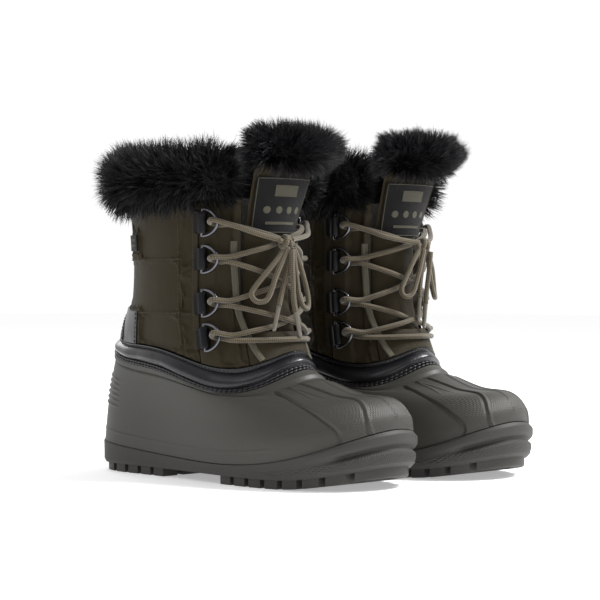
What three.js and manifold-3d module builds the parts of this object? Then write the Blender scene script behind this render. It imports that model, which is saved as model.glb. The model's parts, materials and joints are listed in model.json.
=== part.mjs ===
// A pair of insulated winter hunting boots: rubber foot shells on lugged outsoles, leather rands and
// quilted shafts with fur collars, and padded tongues laced through hinged D-rings.
// Millimetres, +Z up, toes towards -Y, the wearer's right boot at -X. Each boot is drawn in its own
// frame: u to the outer side, f forward from the back of the heel, z up from the ground.
import * as THREE from "three";
import { mergeVertices } from "three/addons/utils/BufferGeometryUtils.js";
import Module from "manifold-3d";

const wasm = await Module();
wasm.setup();

// ---- Driving dimensions -------------------------------------------------------------------------

// Overall
const BOOT_LENGTH = 316;
const BALL_HALF_WIDTH = 58;
const HEEL_HALF_WIDTH = 36;
const SHAFT_DEPTH = 162; // front to back
const SHAFT_HALF_WIDTH = 52;
const SHAFT_BACK = 35; // how far the shaft stands forward of the heel's back
const SHAFT_TOP = 224; // top edge of the quilted shaft
const BOOT_SPACING = 145; // between the two boots' centre planes
const LEFT_STAGGER = 10; // how far the left boot stands ahead of the right
const TOE_SKEW = 6; // how far the toe leans to the inner side
const FLOOR_GAP = 1.1; // glue line and wadding between the stacked floors
const CLEARANCE = 0.4; // between pieces that are sewn, glued or pressed together

// Sole
const LUG_DEPTH = 7;
const SOLE_FLOOR = 12.7; // upper face of the outsole, under the shell
const RIM_THICKNESS = 3.6;
const BUMPER_PROUD = 1.6;
const BEVEL_HEIGHT = 3; // of the outsole's lower edge
const BEVEL_INSET = 2;
const RIM_PROUD = 1; // how far the rim stands out of the shell's foot
const TOE_SPRING = 13;
const SPRING_START = 232;
const HEEL_BLOCK_END = 110;
const FOREFOOT_START = 177;
const LUG_PITCH = 17;
const LUG_GROOVE = 4.5;
const LUG_INSET = 3;

// Shell and leather
const SHELL_WALL = 3;
const SHELL_FLOOR = 3.5;
const LEATHER = 2.4;
const TOE_CAP_HEIGHT = 71; // top of the toe box
const BUMPER_TOP = 46; // top of the outsole at the toe
const COLLAR_BACK_HEIGHT = 104; // shell's upper edge at the heel
const COLLAR_FRONT_HEIGHT = 88; // shell's upper edge at the instep
const BAND_HEIGHT = 19; // leather band above the shell's edge, at the side
const COUNTER_TOP = 138;
const COUNTER_HALF_ANGLE = 42;

// Soft pieces
const QUILT_THICKNESS = 8;
const TONGUE_THICKNESS = 4.5;
const TONGUE_RECESS = 7;
const TONGUE_TOP = 252;
const TONGUE_BEND = 186; // height from which the tongue leans forward and spreads
const TONGUE_LEAN = 12;
const TONGUE_SPREAD = 0.3;
const TONGUE_FLATTEN = 0.5;
const LINER_THICKNESS = 3.6;
const LINER_EASE = 2.3; // loose fit of the removable liner in the shell
const SHAFT_EASE = 4.4; // and in the shaft, where the tongue lies between
const FOOTBED_THICKNESS = 4;
const THROAT_ANGLE = 37; // half the opening between the eyestays, in degrees round the shaft
const FACING_ANGLE = 68; // rear edge of the eyestays
const VAMP_TOP = 119;
const COLLAR_GAP_ANGLE = 9; // between the throat's edge and the fur collar's ends
const PATCH_BOTTOM = 196;
const PATCH_TOP = 240;
const PATCH_THICKNESS = 1.5;
const PATCH_INSET = 6; // from the throat's edge, in degrees
const FUR_TOP = 268;
const FUR_PROUD = 17;
const FUR_OVERHANG = 5;
const FUR_INWARD = 14;
const TONGUE_FUR_TOP = 283;
const LABEL_SIZE = 13;
const LABEL_ANGLE = 126;
const LABEL_HALF_ANGLE = 6;
const LABEL_PROUD = 1.4;
const LABEL_HEIGHT = 190;

// Lacing
const RING_HEIGHTS = [205, 176, 141, 113.5];
const RING_ANGLE = 61;
const RING_WIRE = 1.4; // radius
const RING_BAR = 24; // length over its ends
const RING_REACH = 13;
const RING_STAND = 6.4; // bar's centre above the eyestay
const RING_BORE_GAP = 0.45;
const TAB_WIDTH = 17;
const TAB_REACH = 10;
const TAB_WALL = 1.9;
const STRIP_START = 5; // the strip that joins the tabs, in degrees behind the rings
const STRIP_END = 8;
const LACE_RADIUS = 2.1;
const LACE_RING_GAP = 1.5;
const KNOT_HEIGHT = 190;
const KNOT_OFFSET = 9;
const KNOT_ANGLE = 6;
const KNOT_SIZE = [7.5, 4.6, 6]; // half sizes across, out and up
const AGLET_RADIUS = 1.9;
const AGLET_LENGTH = 20;

// ---- The boot's skin ----------------------------------------------------------------------------

const SHAFT_FRONT = SHAFT_BACK + SHAFT_DEPTH;
const TOE = BOOT_LENGTH;
const BALL = BALL_HALF_WIDTH / 58;
const HEEL = HEEL_HALF_WIDTH / 36;
const SHAFT = SHAFT_HALF_WIDTH / 52;

const COLLAR_HEIGHTS = [COLLAR_FRONT_HEIGHT, 71, 83, 93, COLLAR_BACK_HEIGHT];
const BAND_SHARES = [0.8, 1, 1, 0.8, 0.6]; // the band narrows towards the front and the heel

// Levels of the skin from the outsole's edge up. Each has its back and front ends, and its reach to
// the side and its height at five stations: front, 45, 90 and 135 degrees round, and back.
const LEVELS = [
  {
    back: 2,
    front: TOE - 5,
    side: [88 * BALL, 75 * BALL, 50 * BALL, 50 * HEEL, 74 * HEEL],
    height: [BUMPER_TOP, 27, 16, 22, 27],
  },
  {
    back: 4,
    front: TOE - 8,
    side: [85 * BALL, 75 * BALL, 51 * BALL, 50 * HEEL, 72 * HEEL],
    height: [BUMPER_TOP + 12, 43, 34, 40, 46],
  },
  {
    back: 7,
    front: TOE - 21,
    side: [78 * BALL, 70 * BALL, 50 * BALL, 50 * HEEL, 70 * HEEL],
    height: [TOE_CAP_HEIGHT - 3, 58, 51, 58, 65],
  },
  {
    back: 12,
    front: TOE - 53,
    side: [66 * BALL, 63 * BALL, 49 * SHAFT, 50 * HEEL, 66 * HEEL],
    height: [TOE_CAP_HEIGHT, 68, 68, 76, 85],
  },
  {
    back: 18,
    front: SHAFT_FRONT + 25,
    side: [58 * SHAFT, 57 * SHAFT, 48 * SHAFT, 50 * SHAFT, 62 * SHAFT],
    height: COLLAR_HEIGHTS,
  },
  {
    back: 24,
    front: SHAFT_FRONT + 15,
    side: [55 * SHAFT, 55 * SHAFT, 50 * SHAFT, 51 * SHAFT, 58 * SHAFT],
    height: COLLAR_HEIGHTS.map((height, i) => height + BAND_HEIGHT * BAND_SHARES[i]),
  },
  {
    back: SHAFT_BACK,
    front: SHAFT_FRONT + 1,
    side: Array(5).fill(SHAFT_HALF_WIDTH),
    height: [138, 138, 140, 142, 144],
  },
  {
    back: SHAFT_BACK + 2,
    front: SHAFT_FRONT,
    side: Array(5).fill(SHAFT_HALF_WIDTH),
    height: Array(5).fill(182),
  },
  {
    back: SHAFT_BACK - 3,
    front: SHAFT_FRONT + 3,
    side: Array(5).fill(SHAFT_HALF_WIDTH + 1),
    height: Array(5).fill(SHAFT_TOP),
  },
  {
    back: SHAFT_BACK - 7,
    front: SHAFT_FRONT + 9,
    side: Array(5).fill(SHAFT_HALF_WIDTH + 3),
    height: Array(5).fill(SHAFT_TOP + 46),
  },
];
const COLLAR_LEVEL = 4;
const BAND_LEVEL = 5;
const TOP_LEVEL = 8;

const radians = THREE.MathUtils.degToRad;

// The smooth even function of the angle that passes through five stations, 45 degrees apart.
function aroundStations(values, angle) {
  const count = values.length - 1;
  let sum = 0;
  for (let k = 0; k <= count; k++) {
    let term = 0;
    for (let j = 0; j <= count; j++) {
      const weight = j === 0 || j === count ? 0.5 : 1;
      term += weight * values[j] * Math.cos((Math.PI * k * j) / count);
    }
    const share = k === 0 || k === count ? 1 / count : 2 / count;
    sum += share * term * Math.cos(k * radians(angle));
  }
  return sum;
}

// A Catmull-Rom blend of one value of the levels.
function alongLevels(read, level) {
  const last = LEVELS.length - 1;
  const base = Math.min(Math.max(Math.floor(level), 0), last - 1);
  const t = level - base;
  const at = (i) => {
    if (i < 0) return 2 * read(LEVELS[0]) - read(LEVELS[1]);
    if (i > last) return 2 * read(LEVELS[last]) - read(LEVELS[last - 1]);
    return read(LEVELS[i]);
  };
  const [a, b, c, d] = [at(base - 1), at(base), at(base + 1), at(base + 2)];
  const cubic = (3 * (b - c) + d - a) * t * t * t;
  return 0.5 * (2 * b + (c - a) * t + (2 * a - 5 * b + 4 * c - d) * t * t + cubic);
}

function skinPoint(angle, level) {
  const back = alongLevels((l) => l.back, level);
  const front = alongLevels((l) => l.front, level);
  const side = alongLevels((l) => aroundStations(l.side, angle), level);
  const height = alongLevels((l) => aroundStations(l.height, angle), level);
  const f = (back + front) / 2 + ((front - back) / 2) * Math.cos(radians(angle));
  const lean = Math.max(0, (f - BOOT_LENGTH * 0.45) / (BOOT_LENGTH * 0.55));
  return new THREE.Vector3(side * Math.sin(radians(angle)) - TOE_SKEW * lean * lean, f, height);
}

function skinNormal(angle, level) {
  const step = 0.02;
  const along = skinPoint(angle + 40 * step, level).sub(skinPoint(angle - 40 * step, level));
  const up = skinPoint(angle, level + step).sub(skinPoint(angle, level - step));
  return up.cross(along).normalize();
}

// A point on the skin, moved out along its normal.
function skin(angle, level, offset = 0) {
  return skinPoint(angle, level).addScaledVector(skinNormal(angle, level), offset);
}

// The level at which the skin has a height, at an angle.
function levelAt(angle, height) {
  let low = 0;
  let high = LEVELS.length;
  for (let i = 0; i < 40; i++) {
    const middle = (low + high) / 2;
    if (skinPoint(angle, middle).z < height) low = middle;
    else high = middle;
  }
  return (low + high) / 2;
}

// How far the sole rises off the ground towards the toe.
function spring(f) {
  const t = Math.max(0, (f - SPRING_START) / (BOOT_LENGTH - SPRING_START));
  return TOE_SPRING * t * t;
}

// A point of the outsole's outline, moved out by a distance in plan, at a height of its own.
function outline(angle, out, height) {
  const p = skinPoint(angle, 0);
  const normal = skinNormal(angle, 0);
  normal.z = 0;
  p.addScaledVector(normal.normalize(), out);
  p.z = typeof height === "number" ? height + spring(p.y) : height(p);
  return p;
}

// The outline drawn in towards its middle, for a floor that follows the sole's rise.
const FLOOR_SHARE = 0.75;
function floorPoint(angle, out, height) {
  const p = outline(angle, out, height);
  const middle = BOOT_LENGTH / 2;
  p.x *= FLOOR_SHARE;
  p.y = middle + (p.y - middle) * FLOOR_SHARE;
  p.z = height + spring(p.y);
  return p;
}

// ---- Solids from grids of points ----------------------------------------------------------------

const span = (from, to, steps) =>
  Array.from({ length: steps + 1 }, (_, i) => from + ((to - from) * i) / steps);

function fromTriangles(points, triangles) {
  const geometry = new THREE.BufferGeometry();
  geometry.setAttribute(
    "position",
    new THREE.Float32BufferAttribute(points.flatMap((p) => [p.x, p.y, p.z]), 3),
  );
  geometry.setIndex(triangles.flat());
  let volume = 0;
  for (const [a, b, c] of triangles) {
    volume += points[a].dot(new THREE.Vector3().crossVectors(points[b], points[c]));
  }
  if (volume < 0) geometry.setIndex(triangles.map(([a, b, c]) => [a, c, b]).flat());
  return geometry;
}

// Joins closed loops of equal length, one after another. The ends are closed by a fan round the
// loop's centre, by a ladder across a flat loop, or by joining the last loop to the first.
function loopSolid(loops, ends) {
  const size = loops[0].length;
  const points = loops.flat();
  const triangles = [];
  const last = ends === "ring" ? loops.length : loops.length - 1;
  for (let i = 0; i < last; i++) {
    const a = i * size;
    const b = ((i + 1) % loops.length) * size;
    for (let j = 0; j < size; j++) {
      const k = (j + 1) % size;
      triangles.push([a + j, b + j, b + k], [a + j, b + k, a + k]);
    }
  }
  const firsts = [0, (loops.length - 1) * size];
  if (ends === "fan") {
    firsts.forEach((start, end) => {
      const centre = points.length;
      const sum = loops[end ? loops.length - 1 : 0].reduce(
        (total, p) => total.add(p),
        new THREE.Vector3(),
      );
      points.push(sum.divideScalar(size));
      for (let j = 0; j < size; j++) {
        const k = (j + 1) % size;
        triangles.push(end ? [centre, start + k, start + j] : [centre, start + j, start + k]);
      }
    });
  }
  if (ends === "ladder") {
    firsts.forEach((start, end) => {
      for (let j = 0; j < size / 2 - 1; j++) {
        const [p, q, r, s] = [j, j + 1, size - 2 - j, size - 1 - j].map((n) => start + n);
        if (end) triangles.push([p, r, q], [p, s, r]);
        else triangles.push([p, q, r], [p, r, s]);
      }
    });
  }
  return fromTriangles(points, triangles);
}

// A panel of the skin between two angles, from one level to another, between two offsets.
// The levels may be functions of the angle.
function panel({ angles, rows, bottom, top, outside = 0, inside }) {
  const at = (value, angle) => (typeof value === "function" ? value(angle) : value);
  const loops = angles.map((angle) => {
    const levels = span(at(bottom, angle), at(top, angle), rows);
    const face = levels.map((level) => skin(angle, level, outside));
    const back = levels.map((level) => skin(angle, level, inside));
    return [...face, ...back.reverse()];
  });
  return loopSolid(loops, "ladder");
}

const ROUND = 28;
const roundAngles = span(-180, 180, ROUND).slice(0, -1);
const ring = (place) => roundAngles.map(place);

function toSolid(geometry) {
  const plain = geometry.clone();
  plain.deleteAttribute("normal");
  plain.deleteAttribute("uv");
  const merged = mergeVertices(plain, 1e-4);
  return new wasm.Manifold(
    new wasm.Mesh({
      numProp: 3,
      vertProperties: new Float32Array(merged.attributes.position.array),
      triVerts: new Uint32Array(merged.index.array),
    }),
  );
}

function toGeometry(solid) {
  const mesh = solid.getMesh();
  const geometry = new THREE.BufferGeometry();
  geometry.setAttribute("position", new THREE.BufferAttribute(mesh.vertProperties, 3));
  geometry.setIndex(new THREE.BufferAttribute(mesh.triVerts, 1));
  return geometry;
}

const joined = (parts) =>
  toGeometry(parts.map(toSolid).reduce((whole, part) => whole.add(part)));

// A route whose steps fall on its own points, so that tight turns keep theirs.
class Route extends THREE.CatmullRomCurve3 {
  getSpacedPoints(divisions) {
    return this.getPoints(divisions);
  }
  getTangentAt(t, target) {
    return this.getTangent(t, target);
  }
}

function tube(points, radius, sides) {
  const section = new THREE.Shape();
  for (let i = 0; i < sides; i++) {
    const turn = (2 * Math.PI * i) / sides;
    if (i === 0) section.moveTo(radius, 0);
    else section.lineTo(radius * Math.cos(turn), radius * Math.sin(turn));
  }
  const extrudePath = new Route(points);
  return new THREE.ExtrudeGeometry(section, { steps: points.length - 1, extrudePath });
}

// ---- Materials ----------------------------------------------------------------------------------

function finish(color, roughness, metalness = 0) {
  return () => new THREE.MeshStandardMaterial({ color, roughness, metalness });
}

const shellRubber = finish(0x53524c, 0.75);
const soleRubber = finish(0x4b4a46, 0.85);
const glossyLeather = finish(0x17181a, 0.3);
const quiltNylon = finish(0x423c31, 0.8);
const stayFabric = finish(0x3d382d, 0.85);
const patchFabric = finish(0x373738, 0.9);
const blackFur = finish(0x0f0f11, 1);
const linerFelt = finish(0x6b6a66, 1);
const footbedFoam = finish(0x8a8780, 0.9);
const laceBraid = finish(0x5f5747, 0.9);
const agletPlastic = finish(0x77726a, 0.35);
const darkMetal = finish(0x5a5a5c, 0.3, 1);
const labelFabric = finish(0x1c1c1e, 0.8);

// ---- Sub-parts ----------------------------------------------------------------------------------

const rimTop = (p) => p.z;
const floorHeight = SOLE_FLOOR + FLOOR_GAP;

function lugs() {
  const shape = new THREE.Shape();
  ring((angle) => outline(angle, -LUG_INSET, 0)).forEach((p, i) => {
    if (i === 0) shape.moveTo(p.x, p.y);
    else shape.lineTo(p.x, p.y);
  });
  const block = new THREE.ExtrudeGeometry(shape, { depth: LUG_DEPTH + 1, bevelEnabled: false });
  const bars = [];
  const addBars = (from, to) => {
    for (let f = from; f + LUG_PITCH - LUG_GROOVE <= to; f += LUG_PITCH) {
      const bar = new THREE.BoxGeometry(4 * BALL_HALF_WIDTH, LUG_PITCH - LUG_GROOVE, 3 * LUG_DEPTH);
      bar.translate(0, f + (LUG_PITCH - LUG_GROOVE) / 2, LUG_DEPTH);
      bars.push(toSolid(bar));
    }
  };
  addBars(0, HEEL_BLOCK_END);
  addBars(FOREFOOT_START, BOOT_LENGTH + LUG_PITCH);
  const pattern = bars.reduce((whole, bar) => whole.add(bar));
  const cut = toGeometry(toSolid(block).intersect(pattern));
  const position = cut.attributes.position;
  for (let i = 0; i < position.count; i++) {
    position.setZ(i, position.getZ(i) + spring(position.getY(i)));
  }
  return cut;
}

function outsole() {
  const bumper = (angle) => BUMPER_PROUD * Math.max(0, Math.cos(radians(angle))) ** 2;
  const slab = loopSolid(
    [
      ring((angle) => outline(angle, -BEVEL_INSET, LUG_DEPTH)),
      ring((angle) => outline(angle, 0.6 * RIM_PROUD + bumper(angle), LUG_DEPTH + BEVEL_HEIGHT)),
      ring((angle) => outline(angle, RIM_PROUD + bumper(angle), rimTop)),
      ring((angle) => outline(angle, RIM_PROUD - RIM_THICKNESS, rimTop)),
      ring((angle) => outline(angle, RIM_PROUD - RIM_THICKNESS, SOLE_FLOOR)),
      ring((angle) => floorPoint(angle, RIM_PROUD - RIM_THICKNESS, SOLE_FLOOR)),
    ],
    "fan",
  );
  return joined([slab, lugs()]);
}

function footShell() {
  const seat = RIM_PROUD - RIM_THICKNESS - CLEARANCE;
  const overRim = (p) => p.z + CLEARANCE;
  const lip = seat - SHELL_WALL;
  return loopSolid(
    [
      ring((angle) => floorPoint(angle, seat, floorHeight)),
      ring((angle) => outline(angle, seat, floorHeight)),
      ring((angle) => outline(angle, seat, overRim)),
      ring((angle) => outline(angle, 0, overRim)),
      ...[0.75, 1.5, 2.2, 3, COLLAR_LEVEL].map((level) => ring((angle) => skin(angle, level))),
      ...[COLLAR_LEVEL, 2.8, 1.6, 0.9].map((level) =>
        ring((angle) => skin(angle, level, -SHELL_WALL)),
      ),
      ring((angle) => outline(angle, lip, floorHeight + SHELL_FLOOR)),
      ring((angle) => floorPoint(angle, lip, floorHeight + SHELL_FLOOR)),
    ],
    "fan",
  );
}

function randBand() {
  const bottom = COLLAR_LEVEL + 0.05;
  const top = BAND_LEVEL;
  return loopSolid(
    roundAngles.map((angle) => [
      ...span(bottom, top, 2).map((level) => skin(angle, level)),
      ...[top, bottom].map((level) => skin(angle, level, -LEATHER)),
    ]),
    "ring",
  );
}

const panelBottom = BAND_LEVEL + 0.03;
const counterArc = (angle) => {
  const t = Math.abs(Math.abs(angle) - 180) / COUNTER_HALF_ANGLE;
  const bandTop = skinPoint(angle, BAND_LEVEL).z;
  return bandTop + (COUNTER_TOP - bandTop) * (1 - Math.min(1, t) ** 3);
};

function heelCounter() {
  return panel({
    angles: span(180 - COUNTER_HALF_ANGLE * 0.94, 180 + COUNTER_HALF_ANGLE * 0.94, 10),
    rows: 2,
    bottom: panelBottom,
    top: (angle) => levelAt(angle, counterArc(angle > 180 ? angle - 360 : angle) - 1),
    inside: -LEATHER,
  });
}

function quarter(side) {
  const from = FACING_ANGLE + 0.5;
  return panel({
    angles: span(side * from, side * 179.6, 12),
    rows: 4,
    bottom: (angle) => levelAt(angle, counterArc(angle) + CLEARANCE + 0.2),
    top: TOP_LEVEL,
    inside: -QUILT_THICKNESS,
  });
}

function eyestay(side) {
  return panel({
    angles: span(side * (THROAT_ANGLE + 0.6), side * FACING_ANGLE, 3),
    rows: 5,
    bottom: panelBottom,
    top: TOP_LEVEL,
    inside: -QUILT_THICKNESS,
  });
}

function vamp() {
  return panel({
    angles: span(-THROAT_ANGLE, THROAT_ANGLE, 8),
    rows: 1,
    bottom: panelBottom,
    top: (angle) => levelAt(angle, VAMP_TOP),
    inside: -LEATHER,
  });
}

// A point of the tongue, which leans forward and opens out above the laces.
function tonguePoint(angle, height, offset) {
  const level = levelAt(angle, height);
  const p = skin(angle, level, offset);
  const t = Math.max(0, (height - TONGUE_BEND) / (TONGUE_FUR_TOP - TONGUE_BEND));
  p.x *= 1 + TONGUE_SPREAD * t;
  p.y += t * (TONGUE_FLATTEN * (skinPoint(0, level).y - skinPoint(angle, level).y) + TONGUE_LEAN);
  return p;
}

function tonguePanel(halfAngle, heights, outside, inside) {
  const loops = span(-halfAngle, halfAngle, 6).map((angle) => [
    ...heights.map((height) => tonguePoint(angle, height, outside)),
    ...[...heights].reverse().map((height) => tonguePoint(angle, height, inside)),
  ]);
  return loopSolid(loops, "ladder");
}

function tongue() {
  const bottom = skinPoint(0, panelBottom).z;
  const heights = [bottom, 130, TONGUE_BEND, 208, 230, TONGUE_TOP];
  return tonguePanel(THROAT_ANGLE - 1, heights, -TONGUE_RECESS, -TONGUE_RECESS - TONGUE_THICKNESS);
}

function tonguePatch() {
  const face = -TONGUE_RECESS + CLEARANCE;
  const heights = span(PATCH_BOTTOM, PATCH_TOP, 3);
  return tonguePanel(THROAT_ANGLE - PATCH_INSET, heights, face + PATCH_THICKNESS, face);
}

function tongueFur() {
  const base = TONGUE_TOP + CLEARANCE;
  const shoulder = TONGUE_FUR_TOP - 9;
  const loops = span(-THROAT_ANGLE, THROAT_ANGLE, 6).map((angle) => [
    tonguePoint(angle, base, 4),
    tonguePoint(angle, shoulder, 5),
    tonguePoint(angle, TONGUE_FUR_TOP, -2),
    tonguePoint(angle, TONGUE_FUR_TOP, -11),
    tonguePoint(angle, shoulder, -18),
    tonguePoint(angle, base, -16),
  ]);
  return loopSolid(loops, "ladder");
}

function collarFur() {
  const base = SHAFT_TOP + CLEARANCE;
  const from = THROAT_ANGLE + COLLAR_GAP_ANGLE;
  const loops = span(from, 360 - from, 22).map((turn) => {
    const angle = turn > 180 ? turn - 360 : turn;
    const place = (height, offset) => skin(angle, levelAt(angle, height), offset);
    return [
      place(SHAFT_TOP - FUR_OVERHANG, FUR_PROUD - 6),
      place(base + 8, FUR_PROUD),
      place(FUR_TOP - 12, FUR_PROUD - 1),
      place(FUR_TOP, 5),
      place(FUR_TOP, -FUR_INWARD + 5),
      place(FUR_TOP - 10, -FUR_INWARD),
      place(base + 10, -FUR_INWARD),
      place(base, -FUR_INWARD + 2),
      place(base, CLEARANCE + 0.3),
      place(SHAFT_TOP - FUR_OVERHANG, CLEARANCE + 0.3),
    ];
  });
  return loopSolid(loops, "ladder");
}

function liner() {
  const shellSide = -SHELL_WALL - LINER_EASE;
  const shaftSide = -QUILT_THICKNESS - SHAFT_EASE;
  const inner = shaftSide - LINER_THICKNESS;
  const bottom = floorHeight + SHELL_FLOOR + FLOOR_GAP;
  const outerRows = [
    [1, shellSide - 1],
    [1.8, shellSide],
    [2.8, shellSide - 0.4],
    [4, shellSide - 2],
    [5, shaftSide - 2],
    [5.6, shaftSide - 0.8],
    [6.2, shaftSide],
    [7.1, shaftSide],
    [TOP_LEVEL - 0.1, shaftSide],
  ];
  const innerRows = [TOP_LEVEL - 0.1, 6.5, 5.2, 4.2, 3, 1.7].map((level) => [level, inner]);
  const seat = -(RIM_THICKNESS + SHELL_WALL + 2 * CLEARANCE);
  return loopSolid(
    [
      ring((angle) => floorPoint(angle, seat - 1, bottom)),
      ring((angle) => outline(angle, seat - 1, bottom)),
      ...[...outerRows, ...innerRows].map(([level, offset]) =>
        ring((angle) => skin(angle, level, offset)),
      ),
      ring((angle) => outline(angle, seat - LINER_THICKNESS - 4, bottom + LINER_THICKNESS)),
      ring((angle) => floorPoint(angle, seat - LINER_THICKNESS - 4, bottom + LINER_THICKNESS)),
    ],
    "fan",
  );
}

function footbed() {
  const edge = -(RIM_THICKNESS + SHELL_WALL + LINER_THICKNESS + 9);
  const bottom = floorHeight + SHELL_FLOOR + LINER_THICKNESS + 1.8 * FLOOR_GAP;
  return loopSolid(
    [
      ring((angle) => floorPoint(angle, edge, bottom)),
      ring((angle) => outline(angle, edge, bottom)),
      ring((angle) => outline(angle, edge, bottom + FOOTBED_THICKNESS)),
      ring((angle) => floorPoint(angle, edge, bottom + FOOTBED_THICKNESS)),
    ],
    "fan",
  );
}

function sideLabel() {
  return panel({
    angles: span(LABEL_ANGLE - LABEL_HALF_ANGLE, LABEL_ANGLE + LABEL_HALF_ANGLE, 3),
    rows: 1,
    bottom: (angle) => levelAt(angle, LABEL_HEIGHT - LABEL_SIZE / 2),
    top: (angle) => levelAt(angle, LABEL_HEIGHT + LABEL_SIZE / 2),
    outside: LABEL_PROUD,
    inside: CLEARANCE,
  });
}

// ---- Rings, tabs and laces ----------------------------------------------------------------------

// The frame of a D-ring's bar: X towards the laces, Y out from the shaft, Z up along the bar.
function ringFrame(side, height) {
  const angle = side * RING_ANGLE;
  const level = levelAt(angle, height);
  const out = skinNormal(angle, level);
  const up = skinPoint(angle, level + 0.05).sub(skinPoint(angle, level - 0.05)).normalize();
  const forward = new THREE.Vector3().crossVectors(out, up).normalize();
  if (forward.y < 0) forward.negate();
  const basis = new THREE.Matrix4().makeBasis(forward, out, up);
  return basis.setPosition(skin(angle, level, RING_STAND));
}

function dRing() {
  const half = RING_BAR / 2 - RING_WIRE;
  const centres = span(-90, 90, 7).map(
    (turn) => new THREE.Vector2(RING_REACH * Math.cos(radians(turn)), half * Math.sin(radians(turn))),
  );
  const sides = 6;
  const sections = centres.map((centre, i) => {
    const before = centre.clone().sub(centres.at(i - 1)).normalize();
    const after = centres[(i + 1) % centres.length].clone().sub(centre).normalize();
    const along = before.clone().add(after).normalize();
    const mitre = RING_WIRE / along.dot(after);
    return Array.from({ length: sides }, (_, j) => {
      const turn = (2 * Math.PI * j) / sides;
      const reach = mitre * Math.cos(turn);
      return new THREE.Vector3(
        centre.x - along.y * reach,
        RING_WIRE * Math.sin(turn),
        centre.y + along.x * reach,
      );
    });
  });
  return loopSolid(sections, "ring");
}

function ringTab(frame, mirrored) {
  const foot = -RING_STAND + CLEARANCE;
  const barrel = RING_WIRE + RING_BORE_GAP + TAB_WALL;
  const shape = new THREE.Shape();
  shape.moveTo(-TAB_REACH, foot);
  shape.lineTo(1.5, foot);
  span(-30, 115, 4).forEach((turn) =>
    shape.lineTo(barrel * Math.cos(radians(turn)), barrel * Math.sin(radians(turn))),
  );
  shape.lineTo(-7, foot + TAB_WALL);
  shape.lineTo(-TAB_REACH, foot + TAB_WALL);
  const bore = new THREE.Path();
  const bar = (RING_WIRE + RING_BORE_GAP) / Math.cos(Math.PI / 6);
  span(0, 300, 5).forEach((turn, i) => {
    const at = [bar * Math.cos(radians(turn)), bar * Math.sin(radians(turn))];
    if (i === 0) bore.moveTo(...at);
    else bore.lineTo(...at);
  });
  shape.holes.push(bore);
  const tab = new THREE.ExtrudeGeometry(shape, { depth: TAB_WIDTH, bevelEnabled: false });
  tab.translate(0, 0, -TAB_WIDTH / 2);
  if (mirrored) tab.scale(1, 1, -1); // the bar's frame mirrors it back
  return tab.applyMatrix4(frame);
}

function ringTabs(side) {
  const tabs = RING_HEIGHTS.map((height) => {
    const frame = ringFrame(side, height);
    return ringTab(frame, frame.determinant() < 0);
  });
  const last = RING_HEIGHTS.length - 1;
  const strip = panel({
    angles: span(side * (RING_ANGLE + STRIP_START), side * (RING_ANGLE + STRIP_END), 1),
    rows: 6,
    bottom: (angle) => levelAt(angle, RING_HEIGHTS[last] - TAB_WIDTH / 2),
    top: (angle) => levelAt(angle, RING_HEIGHTS[0] + TAB_WIDTH / 2),
    outside: CLEARANCE + TAB_WALL,
    inside: CLEARANCE,
  });
  return joined([...tabs, strip]);
}

// The turn of the lace round a ring's bow: in underneath, up through the ring and back out on top.
function ringTurn(side, height) {
  const frame = ringFrame(side, height);
  const radius = RING_WIRE + LACE_RADIUS + LACE_RING_GAP;
  const turns = [-90, -135, 180, 135, 90];
  return turns.map((turn, i) =>
    new THREE.Vector3(
      RING_REACH + radius * Math.cos(radians(turn)),
      radius * Math.sin(radians(turn)),
      i - 2,
    ).applyMatrix4(frame),
  );
}

// A strand across the throat from one side's height to the other's, riding over what lies below.
function strand(side, from, to, middle) {
  const stops = [
    [44, 5.4],
    [31, 3.4],
    [16, (3.2 + middle) / 2],
    [0, middle],
    [-16, (3.2 + middle) / 2],
    [-31, 3.4],
    [-44, 5.4],
  ];
  return stops.map(([angle, offset]) => {
    const height = from + (to - from) * ((44 - angle) / 88);
    return skin(side * angle, levelAt(side * angle, height), offset);
  });
}

const LOW_STRAND = -2.7;
const HIGH_STRAND = 1.9;

const knotCentre = () => skin(KNOT_ANGLE, levelAt(KNOT_ANGLE, KNOT_HEIGHT), KNOT_OFFSET);

function laceRoute() {
  const last = RING_HEIGHTS.length - 1;
  const half = (side, cross) => {
    const points = [];
    let at = side;
    for (let i = 0; i <= last; i++) {
      const turn = ringTurn(at, RING_HEIGHTS[i]);
      points.push(...turn.reverse());
      if (i < last) {
        points.push(...strand(at, RING_HEIGHTS[i] - 2, RING_HEIGHTS[i + 1] + 2, cross));
        at = -at;
      }
    }
    return points;
  };
  const knotSide = (side) => {
    const place = (angle, height, offset) => skin(side * angle, levelAt(side * angle, height), offset);
    return [
      knotCentre().add(new THREE.Vector3(side * (KNOT_SIZE[0] + 2 * CLEARANCE), -side * 0.6, 2)),
      place(26, KNOT_HEIGHT + 6, 8.6),
      place(40, KNOT_HEIGHT + 12, 9.4),
    ];
  };
  const down = [...knotSide(1), ...half(1, HIGH_STRAND)];
  const up = [...knotSide(-1), ...half(-1, LOW_STRAND)].reverse();
  const across = strand(-1, RING_HEIGHTS[last] - 2, RING_HEIGHTS[last] - 2, 3.6);
  return [...down, ...across, ...up];
}

function lace() {
  return tube(laceRoute(), LACE_RADIUS, 6);
}

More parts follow.
